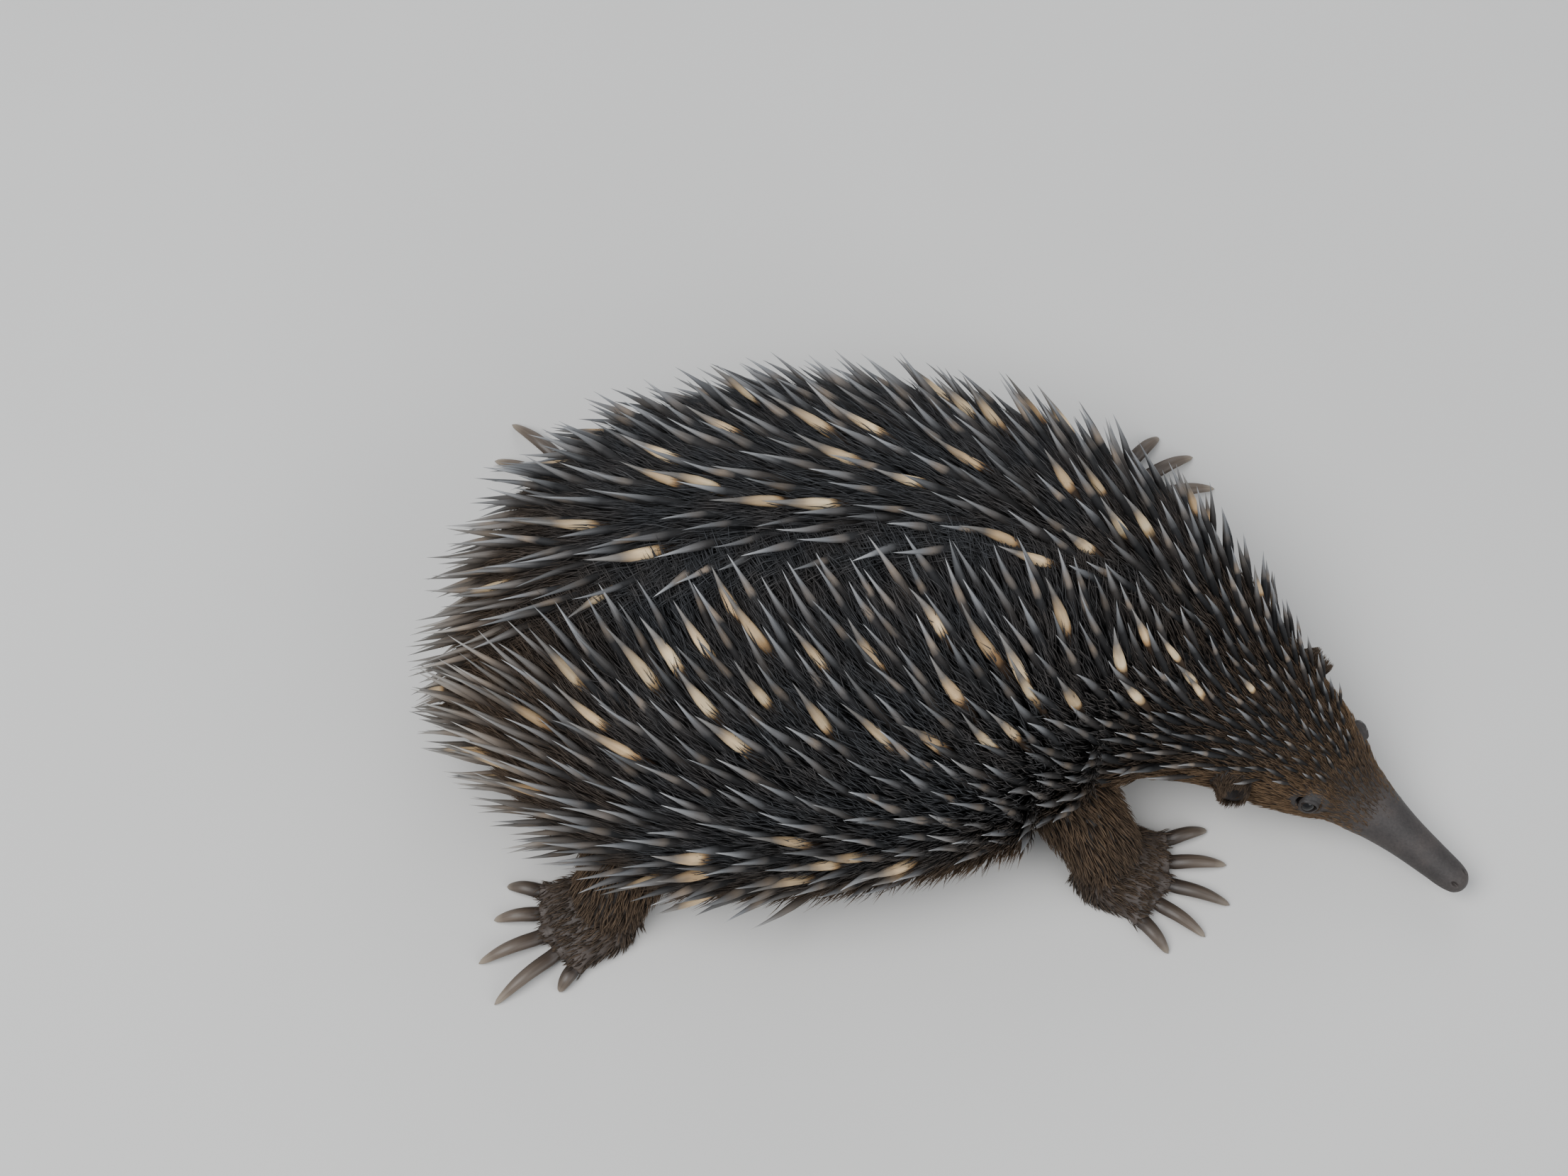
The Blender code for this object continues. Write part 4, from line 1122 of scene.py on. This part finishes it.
def whole_skin(trunk, limbs):
    """The body and limbs in one skin, with its marks."""
    group = bpy.data.collections.new("limbs")
    bpy.context.scene.collection.children.link(group)
    for part in limbs:
        bpy.context.scene.collection.objects.unlink(part)
        group.objects.link(part)
    join = trunk.modifiers.new("Join", "BOOLEAN")
    join.operation, join.operand_type, join.collection, join.solver = "UNION", "COLLECTION", group, "EXACT"
    evaluated(trunk)
    trees = [tree_of(part) for part in limbs]
    for part in limbs:
        bpy.data.objects.remove(part)
    bpy.data.collections.remove(group)
    points = coordinates(trunk.data)
    on_limb = np.zeros(len(points))
    for i in np.flatnonzero(by_limbs(points, MARKS_BELOW)):
        on_limb[i] = min(tree.find_nearest(Vector(points[i]))[3] for tree in trees) < 0.3 * MM
    # The skin is bare from the beak's root on, and partly so around the eyes and ears.
    axis = np.array([8 * MM, -6 * MM])
    beak = np.clip(((points[:, :2] - STATIONS["beak root"][:2]) @ axis) / (axis @ axis), 0, 1)
    for sign in SIDES.values():
        for along, degrees, (most, reach, fade) in (
            (ALONG["brow"], EYE_ANGLE, BARE_BY_EYE),
            (EAR_ALONG, EAR_ANGLE, BARE_BY_EAR),
        ):
            off = points - skin_point(along, sign * math.radians(degrees))[0]
            beak = np.maximum(beak, most * np.clip((reach - norm(off)) / fade, 0, 1))
    foot = on_limb * np.clip((0.020 - points[:, 2]) / 0.010, 0, 1)
    brown = np.maximum(np.clip(1 - points[:, 2] / 0.05, 0, 1), 0.3 * on_limb)
    dress(trunk, skin_look(), np.stack([beak, brown, foot, np.ones(len(points))], -1), points)
    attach(trunk, "root")
    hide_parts(*FLESH)
    return trees


def crowding(along):
    """How close together the spines stand for their length, less than 1 where they are dense."""
    return np.interp(along, [0.0, ALONG["rump"], ALONG["loin"]], [TAIL_CROWDING, RUMP_CROWDING, 1.0])


def fineness(along):
    return (read_coat(along)[:, 1] / FULL_LENGTH) ** FINER * crowding(along)


def spine_roots():
    """The along and angle of every spine, in rows like those of the solids but closer."""
    coated = TABLE_ALONG <= ALONG["brow"]
    along, run = TABLE_ALONG[coated], TABLE_RUN[coated]
    count = running(np.diff(run) / (ROW_STEP * fineness(along[1:])))
    rows = np.interp(np.arange(0.35, count[-1], 1.0), count, along)
    found = []
    uneven = 1 + EDGE_JITTER * np.random.default_rng(SPINE_SEED).uniform(-1, 1, len(rows))
    for number, row in enumerate(rows):
        reach = math.radians(read_coat(row)[0, 0]) * uneven[number]
        angles = np.linspace(-reach, reach, ROW_POINTS)
        arc = running(norm(np.diff(body_point(np.full(ROW_POINTS, row), angles), axis=0)))
        step = SPINE_STEP * fineness(row)[0]
        half = int(arc[-1] / 2 / step) + 1
        wanted = arc[-1] / 2 + (np.arange(-half, half + 1) + 0.5 * (number % 2)) * step
        here = np.interp(wanted[(wanted > 0) & (wanted < arc[-1])], arc, angles)
        found.append(np.stack([np.full(len(here), row), here], -1))
    return np.vstack(found)


def spaced(points, least):
    """Which points stay when each drops the later ones that stand closer to it than the least distance."""
    kept = np.ones(len(points), bool)
    for i in range(len(points)):
        if kept[i]:
            kept[i + 1:] &= norm(points[i + 1:] - points[i]) > least[i]
    return kept


def lie(along, angle, chance_lift, chance_turn, here):
    """The way a spine points at each place, as the solids' rule has it, and the way it lies on the skin."""
    _, normal, backward, around = here
    reach, _, _, lift, *turns, right_edge = read_coat(along).T
    edge_lift = np.where(angle < 0, right_edge, LEFT_EDGE_LIFT)
    share = np.abs(np.degrees(angle)) / reach
    low = change(share, *EDGE_CHANGES)
    right, left = (
        by_furrow + (flank - by_furrow) * change(share, *changes) + (edge - flank) * low
        for (by_furrow, flank, edge), changes in ((turns[:3], RIGHT_CHANGES), (turns[3:], LEFT_CHANGES))
    )
    lift = lift + MIDDLE_LIFT + (edge_lift - MIDDLE_LIFT) * np.minimum(share, 1.2)
    lift = lift + LIFT_JITTER * chance_lift
    sideways = np.where(angle < 0, right, left) + TURN_JITTER * chance_turn
    lift, sideways = np.radians(lift), np.radians(sideways)
    lying = np.cos(sideways)[:, None] * backward + np.sin(sideways)[:, None] * around
    return np.cos(lift)[:, None] * lying + np.sin(lift)[:, None] * normal, lying


def pixels(points):
    """Where points show in the image."""
    up = np.array([0.0, math.sin(CAMERA_ELEVATION), math.cos(CAMERA_ELEVATION)])
    off = points - np.array(CAMERA_TARGET)
    depth = CAMERA_DISTANCE - off @ CAMERA_BACK
    scale = CAMERA_LENS / CAMERA_SENSOR * IMAGE[0] / depth
    return np.stack([IMAGE[0] / 2 + off[:, 0] * scale, IMAGE[1] / 2 - (off @ up) * scale], -1)


def within(outline, points):
    """Which points lie inside a closed outline."""
    x, y = points.T
    found = np.zeros(len(points), bool)
    for (ax, ay), (bx, by) in zip(outline, outline[1:] + outline[:1]):
        crosses = (ay > y) != (by > y)
        found ^= crosses & (x < (bx - ax) * (y - ay) / (by - ay + 1e-9) + ax)
    return found


def pale_spines(draw, along, place, normal, direction, length, kept):
    """Which spines are pale: those seen so in the photograph, and a share of those that it hides."""
    seen = pixels(place + direction * (SEEN_MIDDLE * length)[:, None])
    outer = norm(pixels(place + direction * length[:, None]) - seen)
    faces_camera = (normal @ CAMERA_BACK) > 0.05
    shown = within(SHOWN, seen) & faces_camera
    drawn = draw.random(len(along)) < PALE_SHARE
    pale = ~shown & kept & drawn & (read_coat(along)[:, 1] > LEAST_PALE_LENGTH)
    for spot in PALE_SEEN:
        ruled_out = pale | ~faces_camera | ~kept | (outer <= SEEN_LENGTH * length)
        far = norm(seen - spot) + 1e4 * ruled_out
        if far.min() < PALE_REACH:
            pale[far.argmin()] = True
    return pale


def spine_tones(draw, along, angle, pale):
    """How light and how brown each spine is, with painted shade on the pale ones of the left side, and how
    much of a tan band it has.
    """
    tone = draw.random(len(along))
    edge = np.abs(np.degrees(angle)) / read_coat(along)[:, 0]
    brown = np.clip(0.05 + 1.6 * change(along, ALONG["hips"], ALONG["tail"]), 0, 1)
    brown = np.clip(brown + 0.35 * np.clip(edge - 0.6, 0, 1), 0, 1)
    brown = np.clip(brown + draw.normal(0, 0.12, len(along)), 0, 1)
    # Pale spines are duller and browner on the rump, and a little darker on the left side, the side away
    # from the camera, as painted shade.
    rumpwards = change(along, ALONG["loin"], ALONG["rump"])
    most = np.maximum(np.clip(edge * 2 - 0.6, 0, 1), rumpwards)
    pale_brown = np.clip(0.75 * draw.random(len(along)) ** 1.6 + 0.35 * most, 0, 1)
    # The last term is painted shade: it darkens the pale spines of the left side, away from the camera.
    pale_tone_and_shade = np.clip(0.22 + 0.50 * tone - 0.26 * rumpwards - 0.10 * (angle > 0), 0, 1)
    tan = np.where(pale, 0.0, 0.85 * draw.random(len(along)) ** 2.5)
    return np.where(pale, pale_tone_and_shade, tone), np.where(pale, pale_brown, brown), tan


def spines():
    """The coat's spines, in two pieces of dark ones and one of pale ones."""
    draw = np.random.default_rng(SPINE_SEED)
    roots = spine_roots()
    chance = draw.uniform(-1, 1, (len(roots), 8))
    step = SPINE_STEP * fineness(roots[:, 0])
    along = np.clip(roots[:, 0] + ROOT_JITTER * step * chance[:, 2], 0.5 * MM, END)
    angle = roots[:, 1] + ROOT_JITTER * step / read_sizes(roots[:, 0])[:, 3] * chance[:, 3]
    here = frames(body_point, along, angle)
    place, normal, _, _ = here
    direction, _ = lie(along, angle, chance[:, 0], chance[:, 1], here)
    _, length, thick, *_ = read_coat(along).T
    length = length * MM * (1 + LENGTH_JITTER * chance[:, 4])
    thick = thick * MM * (1 + THICK_JITTER * chance[:, 5]) * crowding(along) ** 0.6
    # A spine ends where it meets the furrow down the back, and one that would reach far over it is out.
    middle, _, left, _, _ = body_frame(along)
    off = dot(place - middle, left)[:, 0]
    towards = -np.sign(off) * dot(direction, left)[:, 0] * length
    share = (np.abs(off) + FURROW_CROSSED * (1.2 + chance[:, 6])) / np.maximum(towards, 1e-6)
    length = np.where(towards > 0, length * np.clip(share, 0, 1), length)
    kept = ((towards <= 0) | (share > LEAST_LEFT)) & spaced(place, LEAST_APART * step)
    # One whose tip would leave the CAD's box, or come near the floor, is made shorter until it doesn't.
    low, high = (np.array(corner) for corner in cad_box)
    for _ in range(SHORTENINGS):
        tip = place + direction * length[:, None]
        out = ((tip < low + SPINE_MARGIN) | (tip > high - SPINE_MARGIN)).any(1) | (tip[:, 2] < SPINE_FLOOR)
        length = np.where(out, length * SHORTER, length)
    pale = pale_spines(draw, along, place, normal, direction, length, kept)
    thick = thick * np.where(pale, PALE_THICK, DARK_THICK)
    depth = read_fur(along)[:, 0] * MM + 1.5 * MM
    behind = np.minimum(depth / np.maximum(dot(direction, normal)[:, 0], 0.3), 0.55 * length)
    side = unit(np.cross(direction, normal))
    over = np.cross(side, direction)
    bend = over * (SPINE_BEND * chance[:, 6])[:, None] + side * (SPINE_BEND * chance[:, 7])[:, None]
    turn, directions = rod_section(SPINE_SIDES, 0.5, side, over)
    shares, sizes = np.array(SPINE_PROFILE).T
    middles = []
    for share in shares:
        distance = length * share if share > 0 else behind * share / SPINE_ROOT
        bent = bend * (length * max(share, 0) * (1 - share))[:, None] * 4
        middles.append(place + direction * distance[:, None] + bent)
    tips = place + direction * length[:, None]
    shapes = rod_points(middles, [thick * size for size in sizes], directions, tips)
    reach = (shares + SPINE_ROOT) / (1 + SPINE_ROOT)
    tones = spine_tones(draw, along, angle, pale)
    marks, grain = rod_marks(draw, turn, reach, np.maximum(sizes, 0.4) * 2 * MM, 0.05, *tones)
    whole = shapes, body_chart(along, angle), marks, grain
    look = spine_look("dark spine", *DARK_SPINE)
    for number, part in enumerate(np.array_split(np.flatnonzero(~pale & kept), 2)):
        rods(f"spines_dark_{number + 1}", look, SPINE_SIDES, part, whole)
    rods("spines_pale", spine_look("pale spine", *PALE_SPINE), SPINE_SIDES, np.flatnonzero(pale), whole)


def tufts(name, look, draw, roots, lying, normal, length, width, lift, brown, charts):
    """Solid tufts that leave the skin at a lift and bend to lie along it, gathered a little into clumps."""
    count = len(roots)
    side = unit(np.cross(lying, normal))
    turned = np.radians(draw.normal(0, TUFT_TURN_JITTER, count))
    lying = np.cos(turned)[:, None] * lying + np.sin(turned)[:, None] * side
    side = unit(np.cross(lying, normal))
    lift = np.radians(np.clip(lift + draw.normal(0, TUFT_LIFT_JITTER, count), *TUFT_LIFTS))
    length = length * (1 + draw.uniform(-TUFT_LENGTH_JITTER, TUFT_LENGTH_JITTER, count))
    width = width * (1 + draw.uniform(-TUFT_WIDTH_JITTER, TUFT_WIDTH_JITTER, count))
    curl = draw.normal(0, TUFT_CURL, count)

    def along_tuft(t):
        ahead = length * (np.cos(lift) * t * (0.85 + 0.15 * t))
        rise = length * (np.sin(lift) * (t - 0.33 * t * t))
        aside = length * curl * t * t
        return roots + lying * ahead[:, None] + normal * rise[:, None] + side * aside[:, None]

    tip = along_tuft(1.0)
    centres = np.arange(0, count, TUFTS_A_CLUMP)
    tree = KDTree(len(centres))
    for i in centres:
        tree.insert(roots[i], i)
    tree.balance()
    nearest = np.array([tree.find(p)[1] for p in roots])
    pull = (tip[nearest] - tip) * CLUMP
    pull *= np.minimum(1, 0.25 * length / np.maximum(norm(pull), 1e-9))[:, None]
    turn, directions = rod_section(TUFT_SIDES, 0.0, side, normal, TUFT_FLATNESS)
    middles = [along_tuft(t) + pull * t * t for t, _ in TUFT_RINGS]
    shapes = rod_points(middles, [0.5 * width * size for _, size in TUFT_RINGS], directions, tip + pull)
    low, high = (np.array(corner) for corner in cad_box)
    shapes = np.clip(shapes, low + TUFT_MARGIN, high - TUFT_MARGIN)
    reach, radii = [t for t, _ in TUFT_RINGS], np.full(len(TUFT_RINGS), 0.5 * MM)
    marks, grain = rod_marks(draw, turn, reach, radii, 0.015, draw.random(count), np.clip(brown, 0, 1))
    pieces = max(1, math.ceil(count / TUFTS_A_PIECE))
    for number in range(pieces):
        label = name if pieces == 1 else f"{name}_{number + 1}"
        rods(label, look, TUFT_SIDES, np.arange(number, count, pieces), (shapes, charts, marks, grain))


def weighted_draw(draw, weights, count):
    """Random cells, as often as their weights have it."""
    drawn = np.searchsorted(np.cumsum(weights) / weights.sum(), draw.random(count))
    return np.minimum(drawn, weights.size - 1)


def body_sample(draw, count, start, end, weight):
    """Random places of the body between two distances, as dense as the weight has it."""
    along = np.linspace(start, end, SAMPLE_GRID[0])
    angle = np.linspace(-math.pi, math.pi, SAMPLE_GRID[1])
    a, t = (part.ravel() for part in np.meshgrid(along, angle, indexing="ij"))
    grid = skin_point(a, t).reshape(*SAMPLE_GRID, 3)
    area = norm(np.cross(grid[1:, :-1] - grid[:-1, :-1], grid[:-1, 1:] - grid[:-1, :-1]))
    middle_a, middle_t = (along[1:] + along[:-1]) / 2, (angle[1:] + angle[:-1]) / 2
    share = (area * weight(middle_a[:, None], middle_t[None])).ravel()
    row, column = np.unravel_index(weighted_draw(draw, share, count), area.shape)
    found_a = middle_a[row] + (along[1] - along[0]) * draw.uniform(-0.5, 0.5, count)
    return found_a, middle_t[column] + (angle[1] - angle[0]) * draw.uniform(-0.5, 0.5, count)


def body_fur(name, look, draw, count, start, end, weight, limbs, width):
    """Fur between two distances along the body, outside the limbs, lying as the spines do."""
    along, angle = body_sample(draw, count, start, end, weight)
    roots = skin_point(along, angle)
    keep = np.ones(len(roots), bool)
    near_limb = by_limbs(roots, FUR_BELOW)
    for tree in limbs:
        keep[near_limb] &= ~inside(tree, roots[near_limb], 0.5 * MM)
    along, angle = along[keep], angle[keep]
    here = frames(skin_point, along, angle)
    roots, normal, _, _ = here
    coat = np.minimum(along, ALONG["brow"])
    zero = np.zeros(len(along))
    _, lying = lie(coat, angle, zero, zero, here)
    _, length, lift, brown = read_fur(along).T
    below = np.clip((np.abs(np.degrees(angle)) - read_coat(coat)[:, 0] * 0.80) / 40, 0, 1)
    lift = lift * (1 - 0.45 * below)
    brown = brown + 0.75 * below
    length = length * (1 + 0.15 * below) * MM
    roots, charts = roots - normal * 0.3 * MM, body_chart(along, angle)
    tufts(name, look, draw, roots, lying, normal, length, width(along), lift, brown, charts)


def limb_fur(look, draw, limbs, trunk_tree):
    """Fur on the legs and the tops of the feet, lying down the leg and along the foot."""
    parts = []
    for number, ((kind, side), (points, triangles)) in enumerate(zip(LIMBS, limbs)):
        corners = points[triangles]
        cross = np.cross(corners[:, 1] - corners[:, 0], corners[:, 2] - corners[:, 0])
        area = norm(cross)
        normal = cross / np.maximum(area, 1e-15)[:, None]
        middle = corners.mean(1)
        middles, forward = palm_middles(kind, side)
        ends = np.array([end for _, end, _ in toe_lines(kind, side)])
        line = np.vstack([leg_path(kind, side), middles[-1][None], middles[-1][None] + forward * 12 * MM])
        tops = np.clip(normal[:, 2] * 2 + 1.2, 0, 1) * (middle[:, 2] > SOLE)
        to_claw = norm(middle[:, None] - ends[None]).min(1)
        cell = weighted_draw(draw, area * tops * (to_claw > NEAR_CLAW), LIMB_TUFTS // len(LIMBS))
        weights = draw.dirichlet((1, 1, 1), len(cell))
        roots = (corners[cell] * weights[:, :, None]).sum(1)
        keep = ~inside(trunk_tree, roots, 0.5 * MM)
        roots, normals = roots[keep], normal[cell][keep]
        # The hair follows the nearest piece of the line down the leg and out over the foot.
        steps = np.diff(line, axis=0)
        off = roots[:, None] - line[None, :-1]
        share = np.clip((off * steps).sum(2) / (steps**2).sum(1), 0, 1)
        nearest = norm(off - share[:, :, None] * steps[None]).argmin(1)
        way = unit(steps[nearest])
        lying = unit(way - normals * dot(way, normals) + [0, 0, -0.15])
        lying = unit(lying - normals * dot(lying, normals))
        t = (nearest + share[np.arange(len(roots)), nearest]) / len(steps)
        turn = np.arctan2(normals[:, 1], normals[:, 2]) / math.tau + 0.5
        charts = np.stack([0.76 + 0.21 * t, 0.02 + 0.24 * number + 0.22 * turn], -1)
        parts.append((roots, lying, normals, charts, t))
    roots, lying, normals, charts, t = (np.concatenate(column) for column in zip(*parts))
    length = np.interp(t, *LIMB_LENGTHS) * MM
    lift = np.interp(t, *LIMB_LIFTS)
    brown = 0.45 + 0.3 * np.clip(roots[:, 2] / 0.04, 0, 1)
    width = np.interp(t, *LIMB_WIDTHS) * MM
    inset = roots - normals * 0.2 * MM
    tufts("fur_legs", look, draw, inset, lying, normals, length, width, lift, brown, charts)


def ear_fur(look, draw):
    """Short hair up the outside of the ears."""
    parts = []
    for sign in SIDES.values():
        degrees = sign * EAR_ANGLE
        rings = patch_rings(EAR_ALONG, degrees, EAR_ROWS[:OUTER_ROWS], EAR_POINTS, ear_shape)
        row = draw.uniform(*FURRED_ROWS, EAR_TUFTS)
        turn = draw.uniform(0, EAR_POINTS, EAR_TUFTS)
        r, k = row.astype(int), turn.astype(int)
        n = (k + 1) % EAR_POINTS
        up_share, on_share = (row - r)[:, None], (turn - k)[:, None]
        lower = rings[r, k] * (1 - on_share) + rings[r, n] * on_share
        upper = rings[r + 1, k] * (1 - on_share) + rings[r + 1, n] * on_share
        here = lower * (1 - up_share) + upper * up_share
        up = unit(rings[r + 1, k] - rings[r, k])
        normal = unit(np.cross(rings[r, n] - rings[r, k], up))
        normal *= np.sign(dot(normal, here - rings[0].mean(0)))
        way = up + 0.7 * frame_at(skin_point, EAR_ALONG, degrees)[2]
        lying = unit(way - normal * dot(way, normal))
        chart = body_chart(EAR_ALONG - row * MM, math.radians(degrees) + turn * 0.004)
        parts.append((here, lying, normal, chart))
    roots, lying, normal, charts = (np.concatenate(column) for column in zip(*parts))
    length, width, lift, brown = (np.full(len(roots), value) for value in EAR_FUR)
    inset = roots - normal * 0.2 * MM
    tufts("fur_ears", look, draw, inset, lying, normal, length, width, lift, brown, charts)


def triangles_of(made):
    made.data.calc_loop_triangles()
    found = np.empty(len(made.data.loop_triangles) * 3, np.int32)
    made.data.loop_triangles.foreach_get("vertices", found)
    return coordinates(made.data), found.reshape(-1, 3)


def fur(limbs, limb_trees, trunk_tree):
    look = fur_look()
    draw = np.random.default_rng(FUR_SEED)
    split = ALONG["neck"] + 6 * MM

    def trunk_weight(along, angle):
        """Thinner fur under the belly."""
        degrees = np.abs(np.degrees(angle))
        return np.where(degrees > 158, 0.05, np.where(degrees > 125, 0.6, 1.0)) * np.ones_like(along)

    def off_from(along, angle, middle, long, degrees, wide):
        """Above 1 outside an oval around an eye or ear."""
        return ((along - middle) / (long * MM)) ** 2 + ((np.abs(np.degrees(angle)) - degrees) / wide) ** 2

    def head_weight(along, angle):
        to_beak = np.clip((ALONG["beak"] - 8 * MM - along) / (8 * MM), 0, 1) ** 0.8
        eye = off_from(along, angle, ALONG["brow"], 4.7, EYE_ANGLE, 9.0)
        ear = off_from(along, angle, EAR_ALONG, 7.6, EAR_ANGLE, 16)
        finer = change(along, split, ALONG["beak root"])
        return to_beak * (eye > 1) * (ear > 1) * (1 + 5.5 * finer**1.3)

    def trunk_width(along):
        return np.full(len(along), TUFT_WIDTH)

    def head_width(along):
        return np.interp(along, [split, ALONG["crown"], ALONG["beak root"]], [0.85, 0.6, 0.36]) * MM

    body_fur("fur_body", look, draw, BODY_TUFTS, 0.5 * MM, split, trunk_weight, limb_trees, trunk_width)
    body_fur("fur_head", look, draw, HEAD_TUFTS, split, ALONG["beak"] - 6 * MM, head_weight, [], head_width)
    limb_fur(look, draw, limbs, trunk_tree)
    ear_fur(look, draw)


def eyes():
    """Eyeballs with a small rise for the cornea."""
    look = eye_look()
    polar = np.linspace(0, math.pi, EYE_RINGS)[1:-1]
    turn = ring_angles(EYE_AROUND)
    bulge = EYEBALL + CORNEA * np.exp(-((polar / 0.62) ** 2) * 1.2)
    out = np.concatenate([np.repeat(polar, EYE_AROUND), [0.0, math.pi]]) / math.pi
    last = len(out)
    final = (len(polar) - 1) * EYE_AROUND
    faces = ring_faces(len(polar), EYE_AROUND)[:-2]
    faces += [(k, (k + 1) % EYE_AROUND, last - 2) for k in range(EYE_AROUND)]
    faces += [(final + (k + 1) % EYE_AROUND, final + k, last - 1) for k in range(EYE_AROUND)]
    for side, sign in SIDES.items():
        centre, normal, backward, around = eyeball(sign)
        ring = np.cos(turn)[None, :, None] * backward + np.sin(turn)[None, :, None] * around
        ball = np.cos(polar)[:, None, None] * normal + np.sin(polar)[:, None, None] * ring
        rings = centre + ball * bulge[:, None, None]
        ends = centre + normal * (EYEBALL + CORNEA), centre - normal * EYEBALL
        vertices = np.vstack([rings.reshape(-1, 3), *ends])
        made = mesh_object(f"fine_eye_{side}", vertices, faces)
        face_outwards(made)
        marks = np.ones((last, 4))
        marks[:, 2] = out
        dress(made, look, marks, vertices - centre)
        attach(made, "root")
        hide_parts(f"eye_{side}")


def claws():
    """Arched, tapering claws that are flat below, a little inside the solid ones."""
    look = claw_look()
    draw = np.random.default_rng(CLAW_SEED)
    taper_knots, taper_sizes = np.array(CLAW_TAPER).T
    read_taper = smooth_curve(taper_knots, taper_sizes[:, None])
    turn = np.tile(ring_angles(CLAW_AROUND), CLAW_RINGS)
    for kind, side in LIMBS:
        for number, (length, (_, end, ahead)) in enumerate(zip(FEET[kind][2], toe_lines(kind, side))):
            length *= MM
            shares = np.linspace(-CLAW_ROOT / length, 1.0, CLAW_RINGS)
            taper = read_taper(shares)[:, 0]
            curve = np.clip((shares - 0.1) / 0.9, 0, 1)
            middles = end + np.outer(shares * length, ahead)
            arch = length * CLAW_ARCH * np.sin(math.pi * curve)
            middles[:, 2] = end[2] + (CLAW_TIP_HEIGHT - end[2]) * curve**1.6 + arch
            widths, heights = (taper * size * CLAW_INSIDE for size in (CLAW_WIDTH, CLAW_HEIGHT))
            rings = tube_rings(middles, widths, heights, CLAW_AROUND, CLAW_SQUASH)
            faces = ring_faces(CLAW_RINGS, CLAW_AROUND)
            made = mesh_object(f"fine_claw_{kind}_{side}_{number + 1}", rings.reshape(-1, 3), faces)
            marks = np.ones((len(turn), 4))
            marks[:, 0] = draw.random()
            marks[:, 2] = np.repeat(np.clip(shares, 0, 1), CLAW_AROUND)
            run = np.repeat(shares * length, CLAW_AROUND)
            grain = np.stack([np.sin(turn) * 3 * MM, np.cos(turn) * 2.5 * MM, run], -1)
            dress(made, look, marks, grain + draw.uniform(0, 4, 3))
            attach(made, "root")
            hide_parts(f"claw_{kind}_{side}_{number + 1}")


def aim(made, place, way):
    """Puts a lamp or the camera at a place, facing a way."""
    made.location = place
    made.rotation_mode = "QUATERNION"
    made.rotation_quaternion = way.to_track_quat("-Z", "Y")


def stage():
    far = FLOOR_REACH
    corners = [(-far, -far, 0), (far, -far, 0), (far, far, 0), (-far, far, 0)]
    floor = mesh_object("floor", corners, [(0, 1, 2, 3)])
    look, tree, shader = new_look("floor")
    cloudy = noise(tree, object_place(tree), 3.0)
    base = ramp(tree, cloudy, (0.3, (0.60, 0.59, 0.57)), (0.7, (0.64, 0.63, 0.61)))
    tree.links.new(base, shader.inputs["Base Color"])
    shader.inputs["Roughness"].default_value = 0.9
    floor.data.materials.append(look)
    world = bpy.data.worlds.new("soft light")
    bpy.context.scene.world = world
    world.use_nodes = True
    background = world.node_tree.nodes["Background"]
    background.inputs["Color"].default_value = SKY_COLOUR
    background.inputs["Strength"].default_value = SKY_STRENGTH
    for name, (place, size, power) in LIGHTS.items():
        lamp = bpy.data.lights.new(name, "AREA")
        lamp.shape, lamp.size, lamp.energy = "DISK", size, power
        aim(linked(name, lamp), place, LIGHT_TARGET - Vector(place))


def camera():
    lens = bpy.data.cameras.new("camera")
    lens.lens, lens.sensor_width = CAMERA_LENS, CAMERA_SENSOR
    lens.clip_start, lens.clip_end = 0.05, 100.0
    made = linked("camera", lens)
    back = Vector(CAMERA_BACK)
    aim(made, CAMERA_TARGET + back * CAMERA_DISTANCE, -back)
    bpy.context.scene.camera = made


trunk = trunk_skin()
trunk_tree = tree_of(trunk)
limb_objects = [limb(kind, side) for kind, side in LIMBS]
limb_shapes = [triangles_of(part) for part in limb_objects]
limb_trees = whole_skin(trunk, limb_objects)
spines()
fur(limb_shapes, limb_trees, trunk_tree)
eyes()
claws()
stage()
camera()
